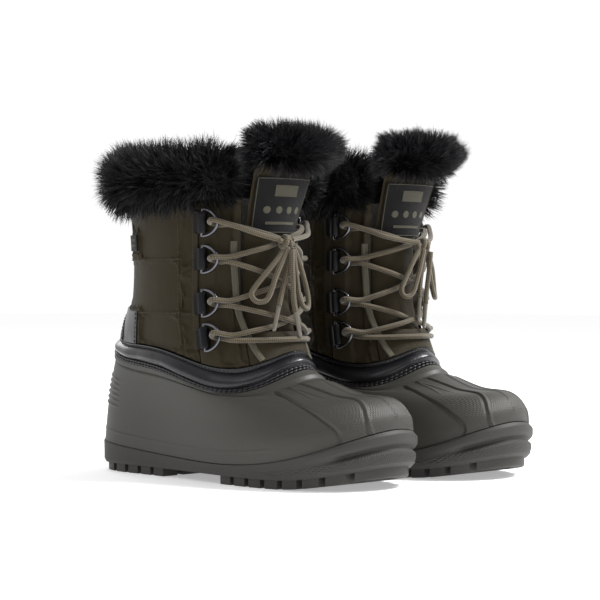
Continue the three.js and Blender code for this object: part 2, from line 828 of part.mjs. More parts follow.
// The bow's loops and tails, from the knot down the front: degrees round, height and offset.
const BOWS = {
  right: {
    loops: [
      [[10, 185, 9], [19, 176, 9], [28, 165, 9], [35, 154, 9], [38, 150, 9.5], [40, 154, 10],
        [37, 164, 11], [26, 178, 11.5], [13, 188, 11]],
      [[1, 187, 9], [-5, 172, 9], [-11, 152, 9], [-14, 138, 8.5], [-11, 132, 9],
        [-5, 134, 10], [-2, 148, 11], [0, 168, 12], [3, 186, 11.5]],
    ],
    tails: [
      [[8, 185, 9.5], [11, 174, 9.5], [13, 163, 9.2], [14, 154, 9], [14, 146, 8.8]],
      [[5, 184, 13], [4, 170, 14], [4, 156, 13], [5, 146, 9.4], [5, 138, 8.6]],
    ],
  },
  left: {
    loops: [
      [[11, 188, 8.5], [20, 180, 9], [31, 168, 9], [40, 157, 9.5], [43, 151, 10], [40, 147, 10.5],
        [35, 151, 11], [25, 166, 11.5], [13, 186, 11]],
      [[2, 187, 9], [-4, 174, 9], [-9, 158, 9], [-13, 147, 8.8], [-11, 142, 9.2],
        [-6, 144, 10], [-2, 156, 11], [1, 172, 11.5], [4, 186, 11.5]],
    ],
    tails: [
      [[8, 185, 10], [13, 172, 10], [15, 158, 9], [15, 148, 8.4], [15, 139, 8.2]],
      [[7, 184, 14], [16, 168, 12.5], [21, 152, 10.5], [25, 140, 9.4], [27, 131, 9]],
    ],
  },
};

function bowPoints(stops) {
  return stops.map(([angle, height, offset]) => skin(angle, levelAt(angle, height), offset));
}

function knot() {
  const body = new THREE.SphereGeometry(1, 10, 6);
  body.scale(...KNOT_SIZE);
  const centre = knotCentre();
  return body.translate(centre.x, centre.y, centre.z);
}

function laceBow(bow) {
  const loops = bow.loops.map((stops) => tube(bowPoints(stops), LACE_RADIUS, 8));
  const tails = bow.tails.map((stops) => tube(bowPoints(stops), LACE_RADIUS, 8));
  return joined([knot(), ...loops, ...tails]);
}

function aglet(stops) {
  const points = bowPoints(stops);
  const end = points[points.length - 1];
  const direction = end.clone().sub(points[points.length - 2]).normalize();
  const from = end.clone().addScaledVector(direction, CLEARANCE);
  const to = end.clone().addScaledVector(direction, CLEARANCE + AGLET_LENGTH);
  const body = new THREE.CylinderGeometry(AGLET_RADIUS, AGLET_RADIUS, AGLET_LENGTH, 8);
  const turn = new THREE.Quaternion().setFromUnitVectors(new THREE.Vector3(0, 1, 0), direction);
  return body.applyQuaternion(turn).translate(...from.add(to).divideScalar(2).toArray());
}

// ---- Assembly -----------------------------------------------------------------------------------

function addPiece(group, name, geometry, material) {
  const mesh = new THREE.Mesh(geometry, material());
  mesh.name = name;
  group.add(mesh);
  return mesh;
}

function addRings(group, prefix, side, sideName) {
  RING_HEIGHTS.forEach((height, i) => {
    const ringMesh = addPiece(group, `${prefix}_d_ring_${sideName}_${i + 1}`, dRing(), darkMetal);
    ringMesh.applyMatrix4(ringFrame(side, height));
  });
}

function boot(prefix, bow) {
  const group = new THREE.Group();
  const add = (name, geometry, material) =>
    addPiece(group, `${prefix}_${name}`, geometry, material);
  add("outsole", outsole(), soleRubber);
  add("foot_shell", footShell(), shellRubber);
  add("rand_band", randBand(), glossyLeather);
  add("heel_counter", heelCounter(), glossyLeather);
  add("quarter_outer", quarter(1), quiltNylon);
  add("quarter_inner", quarter(-1), quiltNylon);
  add("eyestay_outer", eyestay(1), stayFabric);
  add("eyestay_inner", eyestay(-1), stayFabric);
  add("vamp", vamp(), stayFabric);
  add("tongue", tongue(), quiltNylon);
  add("tongue_patch", tonguePatch(), patchFabric);
  add("tongue_fur", tongueFur(), blackFur);
  add("collar_fur", collarFur(), blackFur);
  add("liner", liner(), linerFelt);
  add("footbed", footbed(), footbedFoam);
  add("side_label", sideLabel(), labelFabric);
  add("ring_tabs_outer", ringTabs(1), glossyLeather);
  add("ring_tabs_inner", ringTabs(-1), glossyLeather);
  addRings(group, prefix, 1, "outer");
  addRings(group, prefix, -1, "inner");
  add("lace", lace(), laceBraid);
  add("lace_bow", laceBow(bow), laceBraid);
  add("aglet_a", aglet(bow.tails[0]), agletPlastic);
  add("aglet_b", aglet(bow.tails[1]), agletPlastic);
  return group;
}

// The boot's own frame stands heel to +Y. The right boot's outer side lies to -X, and the left boot
// is its mirror image, a little ahead of it.
function placed(group, mirrored) {
  const side = mirrored ? 1 : -1;
  const turn = new THREE.Group();
  const toe = TOE - 4 + BUMPER_PROUD;
  const heel = 1;
  group.rotation.z = Math.PI;
  group.position.y = (toe + heel) / 2;
  turn.add(group);
  turn.scale.x = mirrored ? -1 : 1;
  turn.position.set((side * BOOT_SPACING) / 2, (-side * LEFT_STAGGER) / 2, 0);
  return turn;
}

const pair = new THREE.Group();
pair.add(placed(boot("right", BOWS.right), false));
pair.add(placed(boot("left", BOWS.left), true));

export default pair;
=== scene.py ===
"""A pair of insulated winter boots, drawn over the CAD frame.

A boot is drawn in its own frame, in millimetres: u to the outer side, f forward from the back of
the heel, z up from the ground. Its skin is read by an angle round the boot, in degrees (0 in
front, 180 behind, positive on the outer side), and by a level up it.
"""

import json
import logging
import math
from dataclasses import dataclass, field
from enum import Enum
from typing import Any, Callable, Sequence

import bmesh
import bpy
import numpy as np
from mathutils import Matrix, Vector

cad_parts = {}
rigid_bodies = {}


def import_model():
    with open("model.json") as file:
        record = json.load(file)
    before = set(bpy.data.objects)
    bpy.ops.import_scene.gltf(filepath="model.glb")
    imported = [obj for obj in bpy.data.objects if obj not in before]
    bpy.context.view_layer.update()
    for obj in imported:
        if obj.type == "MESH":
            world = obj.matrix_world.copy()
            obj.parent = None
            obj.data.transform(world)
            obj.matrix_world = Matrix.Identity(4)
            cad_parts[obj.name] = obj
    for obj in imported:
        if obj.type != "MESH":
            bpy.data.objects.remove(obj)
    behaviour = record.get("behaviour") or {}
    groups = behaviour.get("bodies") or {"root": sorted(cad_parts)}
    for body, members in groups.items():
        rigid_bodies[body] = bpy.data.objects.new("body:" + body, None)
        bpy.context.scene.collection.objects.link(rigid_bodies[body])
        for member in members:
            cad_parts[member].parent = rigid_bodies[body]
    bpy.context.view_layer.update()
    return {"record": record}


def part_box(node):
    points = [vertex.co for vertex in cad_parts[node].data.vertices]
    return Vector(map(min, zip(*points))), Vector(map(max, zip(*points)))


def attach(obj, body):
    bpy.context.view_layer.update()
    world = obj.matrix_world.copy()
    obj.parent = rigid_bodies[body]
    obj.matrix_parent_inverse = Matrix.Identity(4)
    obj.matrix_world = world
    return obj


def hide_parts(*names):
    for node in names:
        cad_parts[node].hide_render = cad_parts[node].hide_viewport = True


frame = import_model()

MM = 0.001
log = logging.getLogger("boots")

Array = np.ndarray
Height = float | Array
Span = tuple[float, float]


class Side(Enum):
    """Which foot a boot is for."""

    RIGHT = "right"
    LEFT = "left"


class Half(Enum):
    """The outer or the inner side of a boot, with the sign of its angles."""

    OUTER = 1
    INNER = -1


class Finish(Enum):
    """The record's material slots."""

    SOLE = "sole_rubber"
    SHELL = "shell_rubber"
    LEATHER = "glossy_leather"
    QUILT = "quilt_nylon"
    STAY = "stay_nylon"
    PATCH = "patch_fabric"
    FUR = "fur"
    FELT = "liner_felt"
    FOAM = "footbed_foam"
    LACE = "lace_braid"
    AGLET = "aglet_plastic"
    METAL = "dark_metal"
    LABEL = "label_fabric"


# ---- The boot's skin -----------------------------------------------------------------------------


@dataclass(frozen=True)
class BootSizes:
    """The sizes that the whole boot shares, in millimetres, as the CAD frame has them."""

    length: float = 316.0
    toe_skew: float = 6.0
    shaft_back: float = 35.0
    shaft_front: float = 197.0
    shaft_top: float = 224.0
    shaft_half_width: float = 52.0
    collar_heights: tuple[float, ...] = (88.0, 71.0, 83.0, 93.0, 104.0)
    band_height: float = 19.0
    band_shares: tuple[float, ...] = (0.8, 1.0, 1.0, 0.8, 0.6)
    toe_spring: float = 13.0
    spring_start: float = 232.0
    heel_margin: float = 1.0
    collar_level: float = 4.0
    band_level: float = 5.0
    throat_angle: float = 37.0
    counter_half_angle: float = 42.0
    counter_top: float = 138.0
    seam_gap: float = 0.03

    @property
    def panel_level(self) -> float:
        """The level at which the panels above the band start."""
        return self.band_level + self.seam_gap


SIZES = BootSizes()


def smooth_step(value: Array, low: float, high: float) -> Array:
    """Rises smoothly from 0 at low to 1 at high."""
    t = np.clip((np.asarray(value, float) - low) / (high - low), 0, 1)
    return t * t * (3 - 2 * t)


def bump_at(value: Array, centre: float, width: float) -> Array:
    """A smooth hump of height 1 at a centre."""
    return np.exp(-(((np.asarray(value, float) - centre) / width) ** 2))


def fitted(line: Sequence[Sequence[float]], level: Height, degree: int = 4) -> Array:
    """The smooth curve fitted to a line's levels and angles, read at a level."""
    return np.polyval(np.polyfit(*line, degree), level)


def full_turn(count: int) -> Array:
    """Even angles once round the boot."""
    return np.linspace(-180, 180, count + 1)[:-1]


def share_grid(x: Span, y: Span, columns: int, rows: int) -> tuple[Array, Array]:
    """A grid of even shares across and up."""
    return np.broadcast_arrays(np.linspace(*x, columns), np.linspace(*y, rows)[:, None])


def cubic(a: Array, b: Array, c: Array, d: Array, t: Array) -> Array:
    """The smooth curve from b to c whose neighbours are a and d."""
    third = (3 * (b - c) + d - a) * t**3
    return 0.5 * (2 * b + (c - a) * t + (2 * a - 5 * b + 4 * c - d) * t * t + third)


class BootSkin:
    """The smooth surface that every panel of a boot lies on or under."""

    def __init__(self, sizes: BootSizes) -> None:
        """Fits the skin's levels to the boot's sizes."""
        self.sizes = sizes
        toe, front, back = sizes.length, sizes.shaft_front, sizes.shaft_back
        half, top = sizes.shaft_half_width, sizes.shaft_top
        collar = sizes.collar_heights
        band = [h + sizes.band_height * s for h, s in zip(collar, sizes.band_shares)]
        levels = [
            (2, toe - 5, (88, 75, 50, 50, 74), (46, 27, 16, 22, 27)),
            (4, toe - 8, (85, 75, 51, 50, 72), (58, 43, 34, 40, 46)),
            (7, toe - 21, (78, 70, 50, 50, 70), (68, 58, 51, 58, 65)),
            (12, toe - 53, (66, 63, 49, 50, 66), (71, 68, 68, 76, 85)),
            (18, front + 25, (58, 57, 48, 50, 62), collar),
            (24, front + 15, (55, 55, 50, 51, 58), band),
            (back, front + 1, (half,) * 5, (138, 138, 140, 142, 144)),
            (back + 2, front, (half,) * 5, (182,) * 5),
            (back - 3, front + 3, (half + 1,) * 5, (top,) * 5),
            (back - 7, front + 9, (half + 3,) * 5, (top + 46,) * 5),
        ]
        rows = [[b, f, *self._cosines(s), *self._cosines(h)] for b, f, s, h in levels]
        table = np.array(rows, float)
        ends = 2 * table[0] - table[1], 2 * table[-1] - table[-2]
        self._table = np.vstack([ends[0], table, ends[1]])
        self._last = len(table) - 1

    @staticmethod
    def _cosines(values: Sequence[float]) -> list[float]:
        """The cosine series of the even function through five stations, 45 degrees apart."""
        n = len(values) - 1
        series = []
        for k in range(n + 1):
            terms = [
                (0.5 if j in (0, n) else 1.0) * values[j] * math.cos(math.pi * k * j / n)
                for j in range(n + 1)
            ]
            series.append(sum(terms) * (1 if k in (0, n) else 2) / n)
        return series

    def point(self, angle: Height, level: Height) -> Array:
        """Points of the skin.

        Args:
            angle: degrees round the boot.
            level: level up the skin.

        Returns:
            An array of (u, f, z) with the broadcast shape of the two.
        """
        angle, level = np.broadcast_arrays(np.asarray(angle, float), np.asarray(level, float))
        base = np.clip(np.floor(level).astype(int), 0, self._last - 1)
        t = (level - base)[..., None]
        row = cubic(*(self._table[base + i] for i in range(4)), t)
        turn = np.radians(angle)
        waves = np.cos(turn[..., None] * np.arange(5))
        side, height = (row[..., 2:7] * waves).sum(-1), (row[..., 7:12] * waves).sum(-1)
        back, front = row[..., 0], row[..., 1]
        f = (back + front) / 2 + (front - back) / 2 * np.cos(turn)
        length = self.sizes.length
        lean = np.maximum(0, (f - 0.45 * length) / (0.55 * length))
        return np.stack([side * np.sin(turn) - self.sizes.toe_skew * lean**2, f, height], -1)

    def frame(self, angle: Height, level: Height) -> tuple[Array, Array, Array]:
        """The skin's outward normal, the direction of growing angle and the one up, as units."""
        step = 0.02
        along = self.point(np.add(angle, 40 * step), level)
        along = along - self.point(np.subtract(angle, 40 * step), level)
        up = self.point(angle, np.add(level, step)) - self.point(angle, np.subtract(level, step))
        out = np.cross(up, along)
        units = (v / np.linalg.norm(v, axis=-1, keepdims=True) for v in (out, along, up))
        return tuple(units)

    def at(self, angle: Height, level: Height, offset: Height = 0.0) -> Array:
        """A point of the skin moved out along its normal."""
        out = self.frame(angle, level)[0]
        return self.point(angle, level) + out * np.asarray(offset, float)[..., None]

    def level_at(self, angle: Height, height: Height) -> Array:
        """The level at which the skin has a height."""
        angle, height = np.broadcast_arrays(np.asarray(angle, float), np.asarray(height, float))
        low, high = np.zeros(angle.shape), np.full(angle.shape, self._last + 1.0)
        for _ in range(34):
            middle = (low + high) / 2
            under = self.point(angle, middle)[..., 2] < height
            low, high = np.where(under, middle, low), np.where(under, high, middle)
        return (low + high) / 2

    def by_height(self, angle: Height, height: Height, offset: Height = 0.0) -> Array:
        """A point of the skin at a height, moved out along its normal."""
        return self.at(angle, self.level_at(angle, height), offset)

    def spring(self, f: Array) -> Array:
        """How far the sole rises off the ground towards the toe."""
        start, length = self.sizes.spring_start, self.sizes.length
        t = np.maximum(0, (np.asarray(f, float) - start) / (length - start))
        return self.sizes.toe_spring * t * t

    def outline(self, angle: Height, out: Height, height: Height | None) -> Array:
        """A point of the outsole's outline, moved out in plan.

        Args:
            angle: degrees round the boot.
            out: how far out it stands.
            height: its height above the sole's rise, or None for the rim's own height.

        Returns:
            The points.
        """
        p = self.point(angle, np.zeros_like(np.asarray(angle, float)))
        normal = self.frame(angle, 0.0)[0].copy()
        normal[..., 2] = 0
        normal /= np.linalg.norm(normal, axis=-1, keepdims=True)
        rim = p[..., 2].copy()
        p = p + normal * np.asarray(out, float)[..., None]
        p[..., 2] = rim if height is None else height + self.spring(p[..., 1])
        return p

    def floor(self, angle: Height, out: float, height: float) -> Array:
        """The outline drawn in towards its middle, for a floor that follows the sole's rise."""
        p = self.outline(angle, out, height)
        middle, share = self.sizes.length / 2, 0.75
        p[..., 0] *= share
        p[..., 1] = middle + (p[..., 1] - middle) * share
        p[..., 2] = height + self.spring(p[..., 1])
        return p


SKIN = BootSkin(SIZES)


# ---- Shapes --------------------------------------------------------------------------------------


@dataclass
class Shape:
    """A mesh in a boot's own frame, with a map for each face corner and values for each point."""

    points: Array
    quads: Array = field(default_factory=lambda: np.zeros((0, 4), int))
    tris: Array = field(default_factory=lambda: np.zeros((0, 3), int))
    quad_map: Array = field(default_factory=lambda: np.zeros((0, 4, 2)))
    values: dict[str, Array] = field(default_factory=dict)

    @staticmethod
    def joined(shapes: Sequence["Shape"]) -> "Shape":
        """Several shapes as one."""
        starts = np.cumsum([0] + [len(s.points) for s in shapes])
        names = {name for s in shapes for name in s.values}
        return Shape(
            np.vstack([s.points for s in shapes]),
            np.vstack([s.quads + start for s, start in zip(shapes, starts)]),
            np.vstack([s.tris + start for s, start in zip(shapes, starts)]),
            np.vstack([s.quad_map for s in shapes]),
            {
                n: np.concatenate([s.values.get(n, np.zeros(len(s.points))) for s in shapes])
                for n in names
            },
        )

    def set_value(self, name: str, values: Array) -> None:
        """Gives the first points their values and the others 0."""
        flat = np.reshape(values, -1)
        self.values[name] = np.concatenate([flat, np.zeros(len(self.points) - len(flat))])

    def in_mesh(self, mesh: bpy.types.Mesh, points: Array | None = None) -> bpy.types.Mesh:
        """Fills a mesh with the shape's faces, at its own points or at moved ones."""
        corners = self.points if points is None else points
        mesh.from_pydata(corners.tolist(), [], self.quads.tolist() + self.tris.tolist())
        return mesh


def lattice(points: Array, ring_rows: bool = False, ring_columns: bool = False) -> Shape:
    """A grid of points as faces.

    Args:
        points: an array of rows of columns of points.
        ring_rows: joins the last row to the first.
        ring_columns: joins the last column to the first.

    Returns:
        The shape, mapped by column and row in shares of the whole.
    """
    rows, columns = points.shape[:2]
    last_row = rows if ring_rows else rows - 1
    last_column = columns if ring_columns else columns - 1
    i, j = np.meshgrid(np.arange(last_row), np.arange(last_column), indexing="ij")
    below, beside = (i + 1) % rows, (j + 1) % columns
    corners = [i * columns + j, i * columns + beside, below * columns + beside, below * columns + j]
    quads = np.stack(corners, -1).reshape(-1, 4)
    place = [(j, i), (j + 1, i), (j + 1, i + 1), (j, i + 1)]
    mapped = [np.stack([c / last_column, r / last_row], -1) for c, r in place]
    return Shape(points.reshape(-1, 3), quads, quad_map=np.stack(mapped, -2).reshape(-1, 4, 2))


def cap(loop: Array) -> Shape:
    """A fan over a closed loop of points."""
    n = len(loop)
    rim = np.arange(n)
    tris = np.stack([np.full(n, n), rim, (rim + 1) % n], -1)
    return Shape(np.vstack([loop, loop.mean(0)]), tris=tris)


def closed_rings(rings: Array) -> Shape:
    """Rings of points, one after another, with a fan at each end."""
    return Shape.joined([lattice(rings, ring_columns=True), cap(rings[0]), cap(rings[-1])])


def slab(face: Array, back: Array) -> Shape:
    """A sheet with a thickness, from the grids of its face and its back."""
    turned = (face[0], back[0]), (face[-1], back[-1]), (face[:, 0], back[:, 0])
    edges = [np.stack(pair) for pair in (*turned, (face[:, -1], back[:, -1]))]
    return Shape.joined([lattice(grid) for grid in (face, back, *edges)])


def skin_slab(angle: Array, level: Array, face: Height, back: Height) -> Shape:
    """A panel on the skin, from the offsets of its face and its back."""
    return slab(SKIN.at(angle, level, face), SKIN.at(angle, level, back))


def smooth_line(points: Array, step: float, closed: bool = False) -> Array:
    """A smooth line through points, in equal steps.

    Args:
        points: the points that it passes through.
        step: the length of a step, about.
        closed: joins the ends.

    Returns:
        The line's points. A closed line doesn't repeat its first one.
    """
    p = np.asarray(points, float)
    if closed:
        p = np.vstack([p[-1], p, p[0], p[1]])
    else:
        p = np.vstack([2 * p[0] - p[1], p, 2 * p[-1] - p[-2]])
    t = np.linspace(0, 1, 16, endpoint=False)[:, None]
    parts = [cubic(*stops, t) for stops in zip(p, p[1:], p[2:], p[3:])]
    line = np.vstack([*parts, p[-2]])
    run = np.concatenate([[0], np.cumsum(np.linalg.norm(np.diff(line, axis=0), axis=1))])
    count = max(3, round(run[-1] / step))
    stops = np.linspace(0, run[-1], count + 1)
    even = np.stack([np.interp(stops, run, line[:, i]) for i in range(3)], -1)
    return even[:-1] if closed else even


def line_length(line: Array) -> float:
    """The length of a line of points."""
    return float(np.linalg.norm(np.diff(line, axis=0), axis=1).sum())


def tube(line: Array, radius: Height, sides: int = 12, closed: bool = False) -> Shape:
    """A round tube along a line, mapped round it and along it in shares of its girth.

    Args:
        line: the centreline's points.
        radius: the radius, or one for each point.
        sides: how many sides it has.
        closed: joins the ends.

    Returns:
        The shape, with its open ends closed.
    """
    n = len(line)
    ahead, behind = np.roll(line, -1, 0), np.roll(line, 1, 0)
    if not closed:
        ahead[-1], behind[0] = line[-1], line[0]
    tangents = ahead - behind
    tangents /= np.linalg.norm(tangents, axis=1, keepdims=True)
    side = np.cross(tangents[0], [0.31, 0.27, 0.91])
    sides_of = []
    for tangent in tangents:
        side = side - tangent * side.dot(tangent)
        side = side / np.linalg.norm(side)
        sides_of.append(side)
    across = np.array(sides_of)
    over = np.cross(tangents, across)
    turn = np.arange(sides) * 2 * math.pi / sides
    reach = np.broadcast_to(np.asarray(radius, float), (n,))[:, None, None]
    spokes = across[:, None] * np.cos(turn)[:, None] + over[:, None] * np.sin(turn)[:, None]
    rings = line[:, None] + spokes * reach
    body = lattice(rings, ring_rows=closed, ring_columns=True)
    girths = line_length(line) / (2 * math.pi * float(np.mean(radius)))
    body.quad_map = body.quad_map * [1, girths]
    return body if closed else Shape.joined([body, cap(rings[0]), cap(rings[-1])])


def ribbon(line: Array, out: Array, width: float, thickness: float) -> Shape:
    """A flat strap along a line, with rounded edges.

    Args:
        line: the middle of the strap's back.
        out: the direction in which its face looks, at each point.
        width: its width.
        thickness: its thickness.

    Returns:
        The shape.
    """
    tangents = np.gradient(line, axis=0)
    across = np.cross(tangents, out)
    across /= np.linalg.norm(across, axis=1, keepdims=True)
    half, edge = width / 2, thickness * 0.35
    section = [(-half, 0), (-half, thickness - edge), (-half + edge, thickness)]
    section += [(half - edge, thickness), (half, thickness - edge), (half, 0)]
    rings = np.stack([line + across * x + out * y for x, y in section], 1)
    shape = closed_rings(rings)
    body = len(section) * (len(line) - 1)
    shape.quad_map[:body] *= [1, line_length(line) / width]
    return shape


# ---- From shapes to pieces -----------------------------------------------------------------------


@dataclass
class Placement:
    """Where one boot stands, read from the frame."""

    side: Side

    def __post_init__(self) -> None:
        """Reads the boot's centre plane and the back of its heel."""
        mounts = {m["name"]: m for m in frame["record"]["mounts"]}
        self.centre: float = mounts[f"{self.side.value}_heel_rest"]["pos_m"][0]
        self.heel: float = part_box(self.node("outsole"))[1].y + SIZES.heel_margin * MM
        self.sign = -1 if self.side is Side.RIGHT else 1

    @property
    def body(self) -> str:
        """The boot's CAD body."""
        return f"{self.side.value}_boot"

    def node(self, piece: str) -> str:
        """The name of one of the boot's CAD nodes."""
        return f"{self.side.value}_{piece}"

    def world(self, points: Array) -> Array:
        """Points of the boot's frame in the scene's, in metres."""
        x = self.centre + self.sign * points[..., 0] * MM
        return np.stack([x, self.heel - points[..., 1] * MM, points[..., 2] * MM], -1)


@dataclass
class Crafted:
    """What dresses a piece: its finish, the nodes that it stands for, its body and its padding."""

    material: bpy.types.Material
    slot: Finish
    nodes: tuple[str, ...] = ()
    body: str = ""
    fill: float | None = None
    crease: float = 180.0


def tidy_mesh(mesh: bpy.types.Mesh, crease: float) -> None:
    """Merges doubles, turns the faces outwards and shades them smoothly, but for the creases."""
    work = bmesh.new()
    work.from_mesh(mesh)
    bmesh.ops.remove_doubles(work, verts=work.verts, dist=2e-6)
    bmesh.ops.recalc_face_normals(work, faces=work.faces)
    work.to_mesh(mesh)
    work.free()
    mesh.polygons.foreach_set("use_smooth", [True] * len(mesh.polygons))
    if crease < 180:
        mesh.set_sharp_from_angle(angle=math.radians(crease))


def linked(name: str, data: Any) -> bpy.types.Object:
    """A new object in the scene."""
    obj = bpy.data.objects.new(name, data)
    bpy.context.scene.collection.objects.link(obj)
    return obj


def raw_object(name: str, shape: Shape, place: Placement) -> bpy.types.Object:
    """An object with a shape's faces, map and values, in the scene's frame."""
    mesh = shape.in_mesh(bpy.data.meshes.new(name), place.world(shape.points))
    layer = mesh.uv_layers.new(name="Cut")
    flat = np.concatenate([shape.quad_map.reshape(-1), np.zeros(len(shape.tris) * 6)])
    layer.data.foreach_set("uv", flat.astype(np.float32))
    for key, values in shape.values.items():
        attribute = mesh.attributes.new(key, "FLOAT", "POINT")
        attribute.data.foreach_set("value", values.astype(np.float32))
    return linked(name, mesh)


def dress(obj: bpy.types.Object, place: Placement, craft: Crafted) -> bpy.types.Object:
    """Gives a finished mesh its material and body, and hides the CAD nodes that it stands for."""
    if craft.material.name not in obj.data.materials:
        obj.data.materials.append(craft.material)
    if craft.nodes:
        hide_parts(*[place.node(n) for n in craft.nodes])
    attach(obj, craft.body or place.body)
    log.info("%s: %d faces", obj.name, len(obj.data.polygons))
    return obj


def make(name: str, shape: Shape, place: Placement, craft: Crafted) -> bpy.types.Object:
    """A finished piece of a boot from a shape.

    Args:
        name: the piece's name without its side.
        shape: its mesh in the boot's frame.
        place: the boot's place.
        craft: how it is dressed.

    Returns:
        The object, riding on its body.
    """
    obj = raw_object(f"{place.side.value}_{name}_look", shape, place)
    tidy_mesh(obj.data, craft.crease)
    return dress(obj, place, craft)


# ---- Node trees ----------------------------------------------------------------------------------


class Canvas:
    """Builds a node tree: a node's inputs are given as values or as other nodes' outputs."""

    def __init__(self, tree: Any) -> None:
        """Works on a tree."""
        self.tree = tree

    def node(self, kind: str, inputs: dict[Any, Any] | None = None, **settings: Any) -> Any:
        """Adds a node.

        Args:
            kind: the node's type.
            inputs: values or sockets for its inputs, by name or number.
            settings: its properties.

        Returns:
            The node.
        """
        made = self.tree.nodes.new(kind)
        for key, value in settings.items():
            setattr(made, key, value)
        self.feed(made, inputs or {})
        return made

    def feed(self, node: Any, inputs: dict[Any, Any]) -> None:
        """Gives a node's inputs their values or their links."""
        for key, value in inputs.items():
            if isinstance(value, bpy.types.NodeSocket):
                self.tree.links.new(value, node.inputs[key])
            else:
                node.inputs[key].default_value = value

    def math(self, operation: str, a: Any, b: Any = 0.0, clamp: bool = False) -> Any:
        """The result of a Math node."""
        made = self.node("ShaderNodeMath", {0: a, 1: b}, operation=operation, use_clamp=clamp)
        return made.outputs[0]

    def vector(self, operation: str, a: Any, b: Any) -> Any:
        """The result of a Vector Math node, where SCALE takes a number."""
        inputs = {0: a, "Scale" if operation == "SCALE" else 1: b}
        return self.node("ShaderNodeVectorMath", inputs, operation=operation).outputs[0]

    def noise(self, vector: Any, scale: Any, detail: float = 2.0, rough: float = 0.5) -> Any:
        """A noise texture."""
        inputs = {"Vector": vector, "Scale": scale, "Detail": detail, "Roughness": rough}
        return self.node("ShaderNodeTexNoise", inputs)

    def own_place(self) -> Any:
        """The place on the object."""
        return self.node("ShaderNodeTexCoord").outputs["Object"]

    def own_map(self) -> Sequence[Any]:
        """The two values of the piece's own map."""
        inputs = {0: self.node("ShaderNodeUVMap").outputs[0]}
        return self.node("ShaderNodeSeparateXYZ", inputs).outputs

    def value(self, name: str) -> Any:
        """A value that the mesh carries."""
        return self.node("ShaderNodeAttribute", attribute_name=name).outputs["Fac"]

    def spread(self, value: Any, low: float, high: float, to: Span) -> Any:
        """A value stretched from one range to another, and held there."""
        inputs = {"Value": value, 1: low, 2: high, 3: to[0], 4: to[1]}
        return self.node("ShaderNodeMapRange", inputs, clamp=True).outputs[0]

    def blend(self, share: Any, a: Any, b: Any) -> Any:
        """Two colours mixed by a share."""
        inputs = {0: share, 6: a, 7: b}
        return self.node("ShaderNodeMix", inputs, data_type="RGBA").outputs[2]


def shader_group(name: str, takes: dict[str, str], gives: dict[str, str]) -> tuple[Any, Any, Any]:
    """A new shader node group with its sockets.

    Args:
        name: the group's name.
        takes: the kind of each input by name.
        gives: the kind of each output by name.

    Returns:
        Its canvas, the outputs of its input node, and its output node.
    """
    tree = bpy.data.node_groups.new(name, "ShaderNodeTree")
    for way, sockets in (("INPUT", takes), ("OUTPUT", gives)):
        for label, kind in sockets.items():
            tree.interface.new_socket(name=label, in_out=way, socket_type=f"NodeSocket{kind}")
    given = tree.nodes.new("NodeGroupInput").outputs
    return Canvas(tree), given, tree.nodes.new("NodeGroupOutput")


class SharedEffects:
    """The shader groups that several finishes use."""

    def __init__(self) -> None:
        """Builds the groups once."""
        self.mottle = self._mottle()
        self.relief = self._relief()
        self.weave = self._weave()

    @staticmethod
    def _mottle() -> Any:
        """A colour that varies a little over the surface, and a roughness that varies with it."""
        c, given, result = shader_group(
            "Mottle",
            {"Color": "Color", "Amount": "Float", "Scale": "Float", "Roughness": "Float"},
            {"Color": "Color", "Roughness": "Float"},
        )
        broad = c.noise(c.own_place(), given["Scale"], 4.0, 0.6).outputs[0]
        shift = c.math("MULTIPLY", c.math("SUBTRACT", broad, 0.5), given["Amount"])
        value = c.math("ADD", shift, 1.0)
        tint = c.node("ShaderNodeHueSaturation", {"Value": value, "Color": given["Color"]})
        rough = c.math("MULTIPLY", given["Roughness"], value, clamp=True)
        c.feed(result, {"Color": tint.outputs[0], "Roughness": rough})
        return c.tree

    @staticmethod
    def _relief() -> Any:
        """A grain of two sizes, as a height."""
        takes = {"Fine Scale": "Float", "Broad Scale": "Float", "Broad Share": "Float"}
        c, given, result = shader_group("Relief", takes, {"Height": "Float"})
        place = c.own_place()
        inputs = {"Vector": place, "Scale": given["Fine Scale"]}
        fine = c.node("ShaderNodeTexVoronoi", inputs, feature="SMOOTH_F1").outputs["Distance"]
        broad = c.noise(place, given["Broad Scale"]).outputs[0]
        wide = c.math("MULTIPLY", broad, given["Broad Share"])
        c.feed(result, {"Height": c.math("ADD", fine, wide)})
        return c.tree

    @staticmethod
    def _weave() -> Any:
        """Crossed threads of a plain weave, as a height, from a piece's own map."""
        takes = {"Across": "Float", "Along": "Float"}
        c, given, result = shader_group("Weave", takes, {"Height": "Float"})
        cut = c.own_map()
        waves = [
            c.math("SINE", c.math("MULTIPLY", cut[i], given[key])) for i, key in enumerate(takes)
        ]
        c.feed(result, {"Height": c.math("MULTIPLY", *waves)})
        return c.tree


EFFECTS = SharedEffects()


def surface(name: str) -> tuple[Canvas, Any, bpy.types.Material]:
    """A new material with its canvas and its Principled shader."""
    material = bpy.data.materials.new(name)
    material.use_nodes = True
    canvas = Canvas(material.node_tree)
    return canvas, material.node_tree.nodes["Principled BSDF"], material


def set_bump(canvas: Canvas, shader: Any, height: Any, depth_mm: float) -> None:
    """Feeds a height to the shader's normal, with a depth in millimetres."""
    inputs = {"Height": height, "Distance": depth_mm * MM, "Strength": 1.0}
    canvas.feed(shader, {"Normal": canvas.node("ShaderNodeBump", inputs).outputs[0]})


def toned(c: Canvas, finish: "PlainFinish | ClothFinish", scale: float) -> dict[str, Any]:
    """A finish's mottled colour and roughness, as inputs of its shader."""
    inputs = {
        "Color": (*finish.color, 1),
        "Amount": finish.mottle,
        "Scale": scale,
        "Roughness": finish.roughness,
    }
    tone = c.node("ShaderNodeGroup", inputs, node_tree=EFFECTS.mottle).outputs
    return {"Base Color": tone["Color"], "Roughness": tone["Roughness"]}


